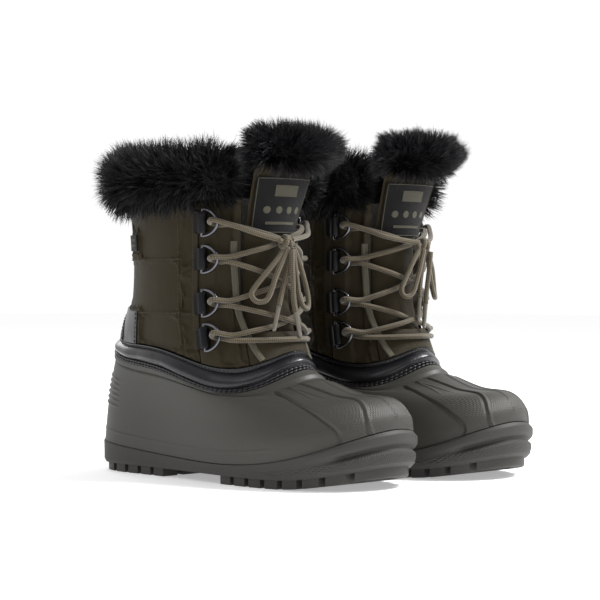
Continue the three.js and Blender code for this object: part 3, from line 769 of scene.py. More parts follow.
@dataclass(frozen=True)
class PlainFinish:
    """A solid material with a grain: rubber, leather, felt, foam, plastic or metal."""

    name: str
    color: tuple[float, float, float]
    roughness: float
    mottle: float = 0.12
    mottle_scale: float = 30.0
    fine_scale: float = 1500.0
    broad_scale: float = 200.0
    broad_share: float = 0.6
    depth_mm: float = 0.05
    metallic: float = 0.0
    coat: float = 0.0
    sheen: float = 0.0
    specular: float = 0.5
    knurl_mm: float = 0.0

    COAT_ROUGHNESS = 0.22
    KNURL_PITCH_MM = 1.8
    KNURL_SLANT = 0.55

    def material(self) -> bpy.types.Material:
        """Builds the material."""
        c, shader, material = surface(self.name)
        looks = {
            "Metallic": self.metallic,
            "Coat Weight": self.coat,
            "Coat Roughness": self.COAT_ROUGHNESS,
            "Sheen Weight": self.sheen,
            "Specular IOR Level": self.specular,
        }
        c.feed(shader, toned(c, self, self.mottle_scale) | looks)
        inputs = {
            "Fine Scale": self.fine_scale,
            "Broad Scale": self.broad_scale,
            "Broad Share": self.broad_share,
        }
        grain = c.node("ShaderNodeGroup", inputs, node_tree=EFFECTS.relief)
        height = c.math("MULTIPLY", grain.outputs[0], self.depth_mm)
        if self.knurl_mm:
            height = c.math("ADD", height, self._knurl(c))
        set_bump(c, shader, height, 1.0)
        return material

    def _knurl(self, c: Canvas) -> Any:
        """The fine crossed ribs of the rubber where the mesh's own value asks for them."""
        cut = c.node("ShaderNodeSeparateXYZ", {0: c.own_place()}).outputs
        waves = []
        for slant in (self.KNURL_SLANT, -self.KNURL_SLANT):
            line = c.math("ADD", cut[0], c.math("MULTIPLY", cut[2], slant))
            pitch = 2 * math.pi / (self.KNURL_PITCH_MM * MM)
            waves.append(c.math("SINE", c.math("MULTIPLY", line, pitch)))
        where = c.math("MULTIPLY", c.math("MAXIMUM", *waves), c.value("knurl"))
        return c.math("MULTIPLY", where, self.knurl_mm)


@dataclass(frozen=True)
class ClothFinish:
    """Woven nylon or webbing, whose threads follow the piece's own map."""

    name: str
    color: tuple[float, float, float]
    roughness: float = 0.62
    threads: tuple[float, float] = (240.0, 200.0)
    thread_mm: float = 0.04
    crumple_mm: float = 0.5
    crumple_scale: float = 70.0
    sheen: float = 0.05
    specular: float = 0.18
    mottle: float = 0.16

    MOTTLE_SCALE = 45.0
    SHEEN_ROUGHNESS = 0.4

    def material(self) -> bpy.types.Material:
        """Builds the material."""
        c, shader, material = surface(self.name)
        looks = {
            "Sheen Weight": self.sheen,
            "Sheen Roughness": self.SHEEN_ROUGHNESS,
            "Specular IOR Level": self.specular,
        }
        c.feed(shader, toned(c, self, self.MOTTLE_SCALE) | looks)
        across, along = (count * 2 * math.pi for count in self.threads)
        inputs = {"Across": across, "Along": along}
        weave = c.node("ShaderNodeGroup", inputs, node_tree=EFFECTS.weave)
        soft = c.noise(c.own_place(), self.crumple_scale, 3.0, 0.55).outputs[0]
        threads = c.math("MULTIPLY", weave.outputs[0], self.thread_mm)
        height = c.math("ADD", threads, c.math("MULTIPLY", soft, self.crumple_mm))
        set_bump(c, shader, height, 1.0)
        return material


@dataclass(frozen=True)
class FurFinish:
    """Hair that is near black at the root and paler at its tip; the pale blue-grey tip colour is
    partly the hair's own and partly a painted highlight.
    """

    name: str
    root: tuple[float, float, float]
    tip: tuple[float, float, float]
    roughness: float = 0.5
    specular: float = 0.28
    tip_power: float = 3.4

    def material(self) -> bpy.types.Material:
        """Builds the material."""
        c, shader, material = surface(self.name)
        # The root-to-tip blend paints a grey highlight along the outer part of each hair, on top of
        # its paler tips.
        tip = c.math("POWER", c.value("tip"), self.tip_power)
        share = c.math("MULTIPLY", tip, c.value("tint"), clamp=True)
        looks = {
            "Base Color": c.blend(share, (*self.root, 1), (*self.tip, 1)),
            "Roughness": self.roughness,
            "Specular IOR Level": self.specular,
        }
        c.feed(shader, looks)
        return material


@dataclass(frozen=True)
class BraidFinish:
    """A round braided lace: slanting strands crossed along the piece's own map."""

    name: str
    light: tuple[float, float, float]
    dark: tuple[float, float, float]
    strands: float = 4.0
    depth_mm: float = 0.22
    roughness: float = 0.8
    sheen: float = 0.3

    def material(self) -> bpy.types.Material:
        """Builds the material."""
        c, shader, material = surface(self.name)
        cut = c.own_map()
        around = c.math("MULTIPLY", cut[0], self.strands * 2 * math.pi)
        along = c.math("MULTIPLY", cut[1], self.strands * 2.2 * math.pi)
        ways = [c.math("SINE", c.math(sign, around, along)) for sign in ("ADD", "SUBTRACT")]
        height = c.math("MULTIPLY", c.math("MULTIPLY", *ways), 0.5)
        share = c.spread(height, -0.3, 0.3, (0.0, 1.0))
        looks = {
            "Base Color": c.blend(share, (*self.dark, 1), (*self.light, 1)),
            "Roughness": self.roughness,
            "Sheen Weight": self.sheen,
        }
        c.feed(shader, looks)
        set_bump(c, shader, height, self.depth_mm)
        return material


class Finishes:
    """Every material of the pair, built once."""

    def __init__(self) -> None:
        """Builds the materials."""
        self.shell = PlainFinish(
            "Foot rubber", (0.043, 0.0418, 0.0355), 0.5, 0.2, 14.0, 1100.0, 260.0, 0.8, 0.09,
            specular=0.4, knurl_mm=0.09,
        ).material()
        self.sole = PlainFinish(
            "Sole rubber", (0.037, 0.035, 0.031), 0.6, 0.2, 18.0, 900.0, 220.0, 0.8, 0.12,
            specular=0.4, knurl_mm=0.22,
        ).material()
        self.leather = PlainFinish(
            "Glossy leather", (0.0045, 0.005, 0.0068), 0.33, 0.3, 40.0, 900.0, 45.0, 5.0, 0.16,
            coat=0.2, specular=0.4,
        ).material()
        self.roll = PlainFinish(
            "Roll leather", (0.0035, 0.0038, 0.005), 0.42, 0.3, 60.0, 1200.0, 90.0, 2.0, 0.06,
            specular=0.22,
        ).material()
        self.quilt = ClothFinish("Quilt nylon", (0.0265, 0.0195, 0.0075)).material()
        self.stay = ClothFinish(
            "Front nylon", (0.031, 0.0235, 0.0112), threads=(60.0, 160.0), crumple_mm=0.35
        ).material()
        self.patch = ClothFinish(
            "Patch cloth", (0.0075, 0.0072, 0.008), 0.85, (110.0, 70.0), 0.06, 0.1, sheen=0.1
        ).material()
        self.pale = ClothFinish(
            "Pale thread", (0.078, 0.073, 0.053), 0.8, (110.0, 60.0), 0.05, 0.1, sheen=0.1
        ).material()
        self.tape = ClothFinish(
            "Webbing tape", (0.112, 0.104, 0.072), 0.85, (5.0, 9.0), 0.22, 0.15, sheen=0.2
        ).material()
        self.thread = PlainFinish(
            "Black thread", (0.012, 0.012, 0.014), 0.45, fine_scale=2500.0
        ).material()
        self.tan_thread = PlainFinish(
            "Olive thread", (0.06, 0.048, 0.028), 0.7, fine_scale=2500.0
        ).material()
        # Fur tip colour: the hair's paler tips with a painted grey highlight mixed in.
        self.fur = FurFinish("Fur", (0.0006, 0.0006, 0.0009), (0.10, 0.10, 0.112)).material()
        self.felt = PlainFinish(
            "Liner felt", (0.09, 0.087, 0.08), 0.95, 0.3, 60.0, 700.0, 250.0, 2.0, 0.5, sheen=0.5
        ).material()
        self.foam = PlainFinish(
            "Footbed foam", (0.12, 0.116, 0.108), 0.95, 0.2, 60.0, 900.0, 150.0, 1.0, 0.3
        ).material()
        self.braid = BraidFinish(
            "Lace braid", (0.132, 0.104, 0.06), (0.036, 0.028, 0.015)
        ).material()
        self.aglet = PlainFinish(
            "Aglet plastic", (0.13, 0.118, 0.092), 0.3, coat=0.4, depth_mm=0.01
        ).material()
        self.metal = PlainFinish(
            "Dark metal", (0.13, 0.13, 0.145), 0.26, 0.2, 60.0, 900.0, 300.0, 0.4, 0.01,
            metallic=1.0,
        ).material()
        self.label = ClothFinish(
            "Label cloth", (0.010, 0.010, 0.011), 0.7, (60.0, 60.0), 0.05, 0.05, sheen=0.1
        ).material()


# ---- Repeated work: stitches and fur -------------------------------------------------------------


def geometry_tree(name: str, sockets: dict[str, str]) -> tuple[Any, Any, Any, dict[str, str]]:
    """A new geometry node tree that takes and gives geometry.

    Args:
        name: the tree's name.
        sockets: the kind of each further input by name.

    Returns:
        Its canvas, the outputs of its input node, its output node and the identifiers of its
        inputs by name.
    """
    tree = bpy.data.node_groups.new(name, "GeometryNodeTree")
    for way in ("OUTPUT", "INPUT"):
        tree.interface.new_socket(name="Geometry", in_out=way, socket_type="NodeSocketGeometry")
    keys = {
        label: tree.interface.new_socket(
            name=label, in_out="INPUT", socket_type=f"NodeSocket{kind}"
        ).identifier
        for label, kind in sockets.items()
    }
    given = tree.nodes.new("NodeGroupInput").outputs
    return Canvas(tree), given, tree.nodes.new("NodeGroupOutput"), keys


def grow(obj: bpy.types.Object, tree: Any, settings: dict[str, Any]) -> None:
    """Runs a geometry tree on an object and keeps its result as the object's plain mesh.

    Args:
        obj: the object whose mesh the tree starts from.
        tree: the tree.
        settings: values of its inputs, by socket identifier.
    """
    modifier = obj.modifiers.new("Grow", "NODES")
    modifier.node_group = tree
    for key, value in settings.items():
        modifier[key] = value
    graph = bpy.context.evaluated_depsgraph_get()
    result = bpy.data.meshes.new_from_object(
        obj.evaluated_get(graph), preserve_all_data_layers=True, depsgraph=graph
    )
    obj.modifiers.remove(modifier)
    old = obj.data
    obj.data = result
    bpy.data.meshes.remove(old)


def spindle(length: float, radius: float, sides: int = 6) -> bpy.types.Mesh:
    """A small rounded stitch along X, in metres."""
    turns = np.arange(sides) * 2 * math.pi / sides
    rings = []
    for share, reach in ((-0.94, 0.35), (-0.7, 0.9), (0.0, 1.0), (0.7, 0.9), (0.94, 0.35)):
        x = np.full(sides, share * length / 2)
        girth = radius * reach
        rings.append(np.stack([x, girth * np.cos(turns), girth * np.sin(turns)], -1))
    mesh = closed_rings(np.array(rings)).in_mesh(bpy.data.meshes.new("stitch"))
    tidy_mesh(mesh, 180)
    return mesh


@dataclass(frozen=True)
class StitchKind:
    """The sizes of one kind of stitch, in millimetres."""

    pitch: float
    length: float
    radius: float


TOP_STITCH = StitchKind(3.4, 2.5, 0.38)
ROPE_STITCH = StitchKind(4.3, 4.5, 1.0)
FINE_STITCH = StitchKind(2.6, 1.8, 0.28)


class Stitcher:
    """Lays rows of stitches along lines, with a geometry tree."""

    def __init__(self) -> None:
        """Builds the tree."""
        kinds = {"Pitch": "Float", "Stitch": "Object", "Thread": "Material"}
        c, given, result, self.keys = geometry_tree("Stitch Row", kinds)
        self.tree = c.tree
        curve = c.node("GeometryNodeMeshToCurve", {0: given["Geometry"]}).outputs[0]
        inputs = {"Curve": curve, "Length": given["Pitch"]}
        even = c.node("GeometryNodeResampleCurve", inputs, mode="LENGTH")
        tangent = c.node("GeometryNodeInputTangent").outputs[0]
        turn = c.node("FunctionNodeAlignRotationToVector", {"Vector": tangent}, axis="X")
        stitch = c.node("GeometryNodeObjectInfo", {0: given["Stitch"]})
        inputs = {
            "Points": even.outputs[0],
            "Instance": stitch.outputs["Geometry"],
            "Rotation": turn.outputs[0],
        }
        row = c.node("GeometryNodeInstanceOnPoints", inputs)
        real = c.node("GeometryNodeRealizeInstances", {0: row.outputs[0]})
        inputs = {"Geometry": real.outputs[0], "Material": given["Thread"]}
        c.feed(result, {0: c.node("GeometryNodeSetMaterial", inputs).outputs[0]})

    def rows(
        self,
        name: str,
        lines: Sequence[Array],
        kind: StitchKind,
        place: Placement,
        craft: Crafted,
    ) -> bpy.types.Object:
        """Lays stitches along lines of the boot's frame.

        Args:
            name: the piece's name without its side.
            lines: the lines, in millimetres.
            kind: the sizes of the stitches.
            place: the boot's place.
            craft: how the thread is dressed.

        Returns:
            The stitches as one object.
        """
        mesh = bpy.data.meshes.new(name)
        starts = np.cumsum([0] + [len(line) for line in lines])
        edges = [
            (int(start) + i, int(start) + i + 1)
            for start, line in zip(starts, lines)
            for i in range(len(line) - 1)
        ]
        mesh.from_pydata(place.world(np.vstack(lines)).tolist(), edges, [])
        obj = linked(f"{place.side.value}_{name}_look", mesh)
        pattern = linked("stitch", spindle(kind.length * MM, kind.radius * MM))
        values = {"Pitch": kind.pitch * MM, "Stitch": pattern, "Thread": craft.material}
        grow(obj, self.tree, {self.keys[name]: value for name, value in values.items()})
        bpy.data.objects.remove(pattern)
        return dress(obj, place, craft)


class FurGrower:
    """Grows clumped hair on a surface, with a geometry tree.

    The surface has a value "hair" where hair grows, and a vector "comb" that says which way it
    lies.
    """

    SEGMENTS = (0.0, 0.35, 0.7, 1.0)
    WIDTHS = (1.0, 0.85, 0.5)
    HALF_WIDTH = 0.021
    BENDS = (0.10, 0.22, 0.34, 0.16)
    LOCKS = ((90.0, 1.5), (260.0, 1.0))
    STRAY = 0.22
    LENGTHS = (0.55, 1.1)
    LOCK_SCALE = 150.0
    LOCK_LENGTHS = (0.75, 1.15)
    TINT_SEED = 7
    TINT_POWER = 2.2

    def __init__(self) -> None:
        """Builds the strands and the tree."""
        self.strands = bpy.data.collections.new("strands")
        for i, bend in enumerate(self.BENDS):
            self.strands.objects.link(bpy.data.objects.new(f"strand_{i}", self._strand(bend)))
        bpy.context.scene.collection.children.link(self.strands)
        kinds = {
            "Density": "Float",
            "Length": "Float",
            "Clumping": "Float",
            "Seed": "Int",
            "Strands": "Collection",
            "Hair": "Material",
        }
        c, given, result, self.keys = geometry_tree("Fur", kinds)
        self.tree = c.tree
        hair = c.node("GeometryNodeInputNamedAttribute", {"Name": "hair"}, data_type="FLOAT")
        inputs = {
            "Mesh": given["Geometry"],
            "Density": c.math("MULTIPLY", hair.outputs[0], given["Density"]),
            "Seed": given["Seed"],
        }
        roots = c.node("GeometryNodeDistributePointsOnFaces", inputs)
        place = c.node("GeometryNodeInputPosition").outputs[0]
        inputs = {0: given["Strands"], "Separate Children": True, "Reset Children": True}
        strand = c.node("GeometryNodeCollectionInfo", inputs).outputs[0]
        inputs = {
            "Points": roots.outputs["Points"],
            "Instance": strand,
            "Pick Instance": True,
            "Rotation": self._turned(c, given, place),
            "Scale": self._size(c, given, place),
        }
        grown = c.node("GeometryNodeInstanceOnPoints", inputs).outputs[0]
        real = c.node("GeometryNodeRealizeInstances", {0: self._tinted(c, grown)})
        joined = c.node("GeometryNodeJoinGeometry")
        c.feed(joined, {0: given["Geometry"]})
        c.feed(joined, {0: real.outputs[0]})
        inputs = {"Geometry": joined.outputs[0], "Material": given["Hair"]}
        c.feed(result, {0: c.node("GeometryNodeSetMaterial", inputs).outputs[0]})

    def _turned(self, c: Canvas, given: Any, place: Any) -> Any:
        """The turn of each hair: combed, drawn into locks, strayed and spun."""
        kind, name = "FLOAT_VECTOR", {"Name": "comb"}
        way = c.node("GeometryNodeInputNamedAttribute", name, data_type=kind).outputs[0]
        for scale, share in self.LOCKS:
            inputs = {"Vector": place, "Scale": scale, "Detail": 1.0}
            lock = c.node("ShaderNodeTexNoise", inputs).outputs["Color"]
            centred = c.vector("SUBTRACT", lock, (0.5, 0.5, 0.5))
            strength = c.math("MULTIPLY", given["Clumping"], share)
            way = c.vector("ADD", way, c.vector("SCALE", centred, strength))
        inputs = {0: (-self.STRAY,) * 3, 1: (self.STRAY,) * 3, "Seed": given["Seed"]}
        stray = c.node("FunctionNodeRandomValue", inputs, data_type=kind).outputs[0]
        way = c.vector("ADD", way, stray)
        aimed = c.node("FunctionNodeAlignRotationToVector", {"Vector": way}, axis="Z").outputs[0]
        spin = c.node("FunctionNodeRandomValue", {2: -3.1416, 3: 3.1416}, data_type="FLOAT")
        inputs = {"Axis": (0, 0, 1), "Angle": spin.outputs[1]}
        twist = c.node("FunctionNodeAxisAngleToRotation", inputs).outputs[0]
        inputs = {0: aimed, 1: twist}
        return c.node("FunctionNodeRotateRotation", inputs, rotation_space="LOCAL").outputs[0]

    def _size(self, c: Canvas, given: Any, place: Any) -> Any:
        """The size of each hair, which varies from hair to hair and from lock to lock."""
        inputs = dict(zip((2, 3), self.LENGTHS))
        size = c.node("FunctionNodeRandomValue", inputs, data_type="FLOAT").outputs[1]
        inputs = {"Vector": place, "Scale": self.LOCK_SCALE}
        lock = c.node("ShaderNodeTexNoise", inputs).outputs[0]
        size = c.math("MULTIPLY", size, c.spread(lock, 0.3, 0.7, self.LOCK_LENGTHS))
        return c.math("MULTIPLY", size, given["Length"])

    def _tinted(self, c: Canvas, grown: Any) -> Any:
        """The hairs with a random tint for each, mostly dark, that sets how much of the pale tip
        colour, partly painted highlight, each one shows.
        """
        inputs = {2: 0.0, 3: 1.0, "Seed": self.TINT_SEED}
        tint = c.node("FunctionNodeRandomValue", inputs, data_type="FLOAT").outputs[1]
        tone = c.math("POWER", tint, self.TINT_POWER)
        inputs = {"Geometry": grown, "Name": "tint", "Value": tone}
        kind = dict(data_type="FLOAT", domain="INSTANCE")
        return c.node("GeometryNodeStoreNamedAttribute", inputs, **kind).outputs[0]

    def _strand(self, bend: float) -> bpy.types.Mesh:
        """One hair of length 1 along Z, flat and tapering, bent by a share of its length."""
        points, tips = [], []
        for share, width in zip(self.SEGMENTS, (*self.WIDTHS, 0.0)):
            half = self.HALF_WIDTH * width
            x = bend * share**2
            row = [(x, -half, share), (x, half, share)] if width else [(x, 0.0, share)]
            points += row
            tips += [share] * len(row)
        faces = [(0, 1, 3, 2), (2, 3, 5, 4), (4, 5, 6)]
        mesh = bpy.data.meshes.new("strand")
        mesh.from_pydata(points, [], faces)
        attribute = mesh.attributes.new("tip", "FLOAT", "POINT")
        attribute.data.foreach_set("value", tips)
        mesh.polygons.foreach_set("use_smooth", [True] * len(faces))
        return mesh

    def cover(
        self,
        obj: bpy.types.Object,
        hair: bpy.types.Material,
        count: int,
        length: float,
        seed: int,
        clumping: float = 1.0,
    ) -> None:
        """Grows hair on an object's mesh.

        Args:
            obj: the object with its values "hair" and "comb".
            hair: the hair's material.
            count: how many strands, about.
            length: their length, in millimetres.
            seed: the seed of the random draws.
            clumping: how strongly they draw into locks.
        """
        values = np.zeros(len(obj.data.vertices), np.float32)
        obj.data.attributes["hair"].data.foreach_get("value", values)
        area = sum(
            p.area * float(np.mean([values[v] for v in p.vertices])) for p in obj.data.polygons
        )
        values = {
            "Density": count / area,
            "Length": length * MM,
            "Clumping": clumping,
            "Seed": seed,
            "Strands": self.strands,
            "Hair": hair,
        }
        grow(obj, self.tree, {self.keys[name]: value for name, value in values.items()})

    def put_away(self) -> None:
        """Removes the strands that the copies were made from."""
        for strand in list(self.strands.objects):
            bpy.data.objects.remove(strand)
        bpy.data.collections.remove(self.strands)


@dataclass
class Workroom:
    """What every sub-assembly needs: the finishes, the stitcher and the fur grower."""

    finishes: Finishes = field(default_factory=Finishes)
    stitcher: Stitcher = field(default_factory=Stitcher)
    furrier: FurGrower = field(default_factory=FurGrower)
# ---- Rubber --------------------------------------------------------------------------------------


@dataclass
class FootShell:
    """The moulded rubber shell round the foot, with its toe ridges, lip and heel ribs."""

    wall: float = 3.0
    seat: float = -3.0
    floor_height: float = 13.8
    floor_thickness: float = 3.5
    step_proud: float = 1.1
    ridge_proud: float = 1.0
    crest_proud: float = 0.8
    vein_proud: float = 0.6
    lip_proud: float = 1.5
    lip_groove: float = 0.8
    rib_proud: float = 1.1
    ribs_per_level: float = 4.2
    bead_proud: float = 0.35
    rim_gap: float = 0.4
    back_low: float = 0.9
    back_rows: int = 24
    fine_reach: float = 52.0
    columns: int = 560
    rows: int = 110

    STEP = (
        (0.0, 0.26, 0.82, 1.34, 1.84, 2.3, 2.9, 3.54, 4.0),
        (29.5, 30, 31, 32.5, 36, 39.5, 38, 32, 28),
    )
    RIDGE = ((0.0, 0.56, 1.8, 3.1, 3.62, 4.0), (15, 16, 15, 12, 17, 19))
    VEINS = (((2.4, 3.3, 4.0), (22, 23, 27)), ((2.4, 3.3, 4.0), (31, 26, 23)))

    def relief(self, angle: Array, level: Array) -> Array:
        """How far the moulded details stand out of the shell."""
        turn = np.abs((angle + 180) % 360 - 180)
        step = fitted(self.STEP, level) - turn
        ridge = fitted(self.RIDGE, level) - turn
        fade = 1 - smooth_step(level, 3.55, 3.75)
        edge = smooth_step(step, -0.4, 0.7) - 0.8 * bump_at(step, -1.0, 0.7)
        out = fade * self.step_proud * edge
        edge = bump_at(ridge, 0, 0.9) - 0.7 * bump_at(ridge, -1.6, 0.7)
        out += fade * self.ridge_proud * edge
        out += fade * self.crest_proud * bump_at(turn, 0, 1.0) * smooth_step(level, 0.4, 1.0)
        for line in self.VEINS:
            vein = np.interp(level, *line) - turn
            out += self.vein_proud * fade * smooth_step(level, 2.4, 3.0) * bump_at(vein, 0, 0.7)
        lip = self.lip_proud * smooth_step(level, 3.74, 3.8)
        out += lip - self.lip_groove * bump_at(level, 3.7, 0.04)
        heel = smooth_step(turn, 138, 148) * smooth_step(level, 1.5, 1.7)
        heel *= 1 - smooth_step(level, 2.9, 3.1)
        ribs = np.maximum(0, np.sin(2 * math.pi * level * self.ribs_per_level))
        out += self.rib_proud * heel * ribs
        out += self.bead_proud * bump_at(level, 0.55, 0.05) * smooth_step(turn, 55, 62)
        return out

    def shape(self) -> Shape:
        """The shell's mesh."""
        reach, ends = self.fine_reach, self.columns // 4
        spans = ((-180, -reach, ends), (-reach, reach, self.columns - 2 * ends), (reach, 180, ends))
        angle = np.concatenate([np.linspace(a, b, n, endpoint=False) for a, b, n in spans])
        levels = np.linspace(0.04, SIZES.collar_level, self.rows)
        behind = np.linspace(SIZES.collar_level, self.back_low, self.back_rows)
        low, top = self.floor_height, self.floor_height + self.floor_thickness
        lip, lift = self.seat - self.wall, [0, 0, self.rim_gap]
        rings = [
            SKIN.floor(angle, self.seat, low),
            SKIN.outline(angle, self.seat, low),
            SKIN.outline(angle, self.seat, None) + lift,
            SKIN.outline(angle, 0.0, None) + lift,
        ]
        under = len(rings)
        for row in levels:
            level = np.full_like(angle, row)
            rings.append(SKIN.at(angle, row, self.relief(angle, level)))
        rings += [SKIN.at(angle, row, -self.wall) for row in behind]
        rings += [SKIN.outline(angle, lip, top), SKIN.floor(angle, lip, top)]
        knurl = np.zeros((len(rings), len(angle)))
        for i, row in enumerate(levels):
            inside = smooth_step(fitted(self.STEP, row) - np.abs(angle), 2.0, 3.5)
            knurl[i + under] = inside * (1 - smooth_step(row, 2.3, 2.8))
        shape = closed_rings(np.array(rings))
        shape.set_value("knurl", knurl)
        return shape

    def build(self, place: Placement, room: Workroom) -> None:
        """Makes the piece."""
        craft = Crafted(room.finishes.shell, Finish.SHELL, ("foot_shell",), crease=50)
        make("foot_shell", self.shape(), place, craft)


@dataclass
class Outsole:
    """The outsole: a wall round the shell's foot with a toe bumper, and the lugs under it."""

    lug_depth: float = 7.0
    floor_height: float = 12.7
    rim: float = 3.6
    bumper: float = 1.6
    groove: float = 2.6
    bulge: float = 1.7
    ledge: float = 0.7
    rows: int = 34
    pitch: float = 17.0
    gap: float = 4.5
    inset: float = 3.0
    lug_width: float = 19.0
    wedge_gap: float = 3.5
    wedge_rise: float = 2.2
    heel_end: float = 110.0
    forefoot_start: float = 177.0

    def wall(self) -> Shape:
        """The wall with its bumper, groove and floor."""
        angle = full_turn(480)
        turn = -np.abs(angle)
        front = np.maximum(0, np.cos(np.radians(angle))) ** 2
        near_toe, slot = smooth_step(turn, -50, -24), smooth_step(turn, -37, -27)
        low = SKIN.outline(angle, 0.0, self.lug_depth + 3)[..., 2]
        high = SKIN.outline(angle, 0.0, None)[..., 2]
        rings = [SKIN.floor(angle, -3, self.lug_depth)]
        rings += [SKIN.outline(angle, out, self.lug_depth) for out in (-3, -1)]
        knurl = [np.zeros_like(angle)] * 3
        for t in np.linspace(0, 1, self.rows):
            out = 0.6 + 0.4 * t + front * self.bumper
            out = out - slot * self.groove * bump_at(t, 0.47, 0.085)
            swell = near_toe * self.bulge * smooth_step(t, 0.5, 0.72)
            out = out + swell * (1 - smooth_step(t, 0.88, 1))
            ledge = near_toe * self.ledge * smooth_step(t, 0.05, 0.2)
            out = out + ledge * (1 - smooth_step(t, 0.32, 0.42))
            out = out - 0.5 * smooth_step(t, 0.94, 1.0)
            ring = SKIN.outline(angle, out, None)
            ring[..., 2] = low + (high - low) * t
            rings.append(ring)
            strip = smooth_step(t, 0.02, 0.08) * (1 - smooth_step(t, 0.34, 0.4))
            knurl.append(strip * smooth_step(turn, -75, -55))
        inner = 1 - self.rim
        rings += [SKIN.outline(angle, inner, z) for z in (None, self.floor_height)]
        rings.append(SKIN.floor(angle, inner, self.floor_height))
        shape = closed_rings(np.array(rings))
        shape.set_value("knurl", knurl)
        return shape

    def block(self, plan: Array) -> Shape:
        """A lug from its corners in plan, with a worn lower edge."""
        middle = plan.mean(0)
        rings = []
        for z, share in ((self.lug_depth + 0.6, 1.0), (1.0, 1.0), (0.35, 0.985), (0.0, 0.94)):
            ring = middle + (plan - middle) * share
            rings.append(np.column_stack([ring, z + SKIN.spring(ring[:, 1])]))
        return closed_rings(np.array(rings))

    @staticmethod
    def between(one: Array, other: Array, f: Array) -> Array:
        """The corners in plan between two edges of a lug."""
        return np.vstack([np.column_stack([one, f]), np.column_stack([other, f])[::-1]])

    def lugs(self) -> list[Shape]:
        """The lugs: one on either side of a wedge in the middle, and whole bars at the ends."""
        turns = np.linspace(0, 180, 361)
        edges = {
            half: SKIN.outline(half.value * turns, -self.inset, 0.0)[:, :2][::-1] for half in Half
        }

        def reach(half: Half, f: Array) -> Array:
            """How far out the sole's edge is at f."""
            return np.interp(f, edges[half][:, 1], edges[half][:, 0])

        shapes = []
        for start, end in ((0.0, self.heel_end), (self.forefoot_start, SIZES.length + self.pitch)):
            for front in np.arange(start, end - self.pitch + self.gap + 0.1, self.pitch):
                low = max(front, edges[Half.OUTER][0, 1] + 0.3)
                high = min(front + self.pitch - self.gap, edges[Half.OUTER][-1, 1] - 0.3)
                if high - low < 3:
                    continue
                f = np.linspace(low, high, 7)
                out, inn = reach(Half.OUTER, f), reach(Half.INNER, f)
                if min(out.min(), -inn.max()) < self.lug_width + 6:
                    shapes.append(self.block(self.between(out, inn, f)))
                    continue
                for edge, sign in ((out, 1), (inn, -1)):
                    inside = edge - sign * self.lug_width
                    inside = inside - sign * 2.5 * np.cos(np.linspace(0, math.pi, 7))
                    shapes.append(self.block(self.between(edge, inside, f)))
                left = inn + self.lug_width + self.wedge_gap
                right = out - self.lug_width - self.wedge_gap
                plan = self.between(right, left, f)
                middle = (plan[:, 0].max() + plan[:, 0].min()) / 2
                plan[:, 1] += self.wedge_rise * (1 - np.abs(plan[:, 0] - middle) / 14)
                shapes.append(self.block(plan))
        return shapes

    def build(self, place: Placement, room: Workroom) -> None:
        """Makes the piece."""
        shape = Shape.joined([self.wall(), *self.lugs()])
        craft = Crafted(room.finishes.sole, Finish.SOLE, ("outsole",), crease=40)
        make("outsole", shape, place, craft)


# ---- Leather -------------------------------------------------------------------------------------


def counter_arc(angle: Array) -> Array:
    """The height of the heel counter's upper edge."""
    t = np.abs(np.abs(angle) - 180) / SIZES.counter_half_angle
    band_top = SKIN.point(angle, SIZES.band_level)[..., 2]
    return band_top + (SIZES.counter_top - band_top) * (1 - np.minimum(1, t) ** 3)


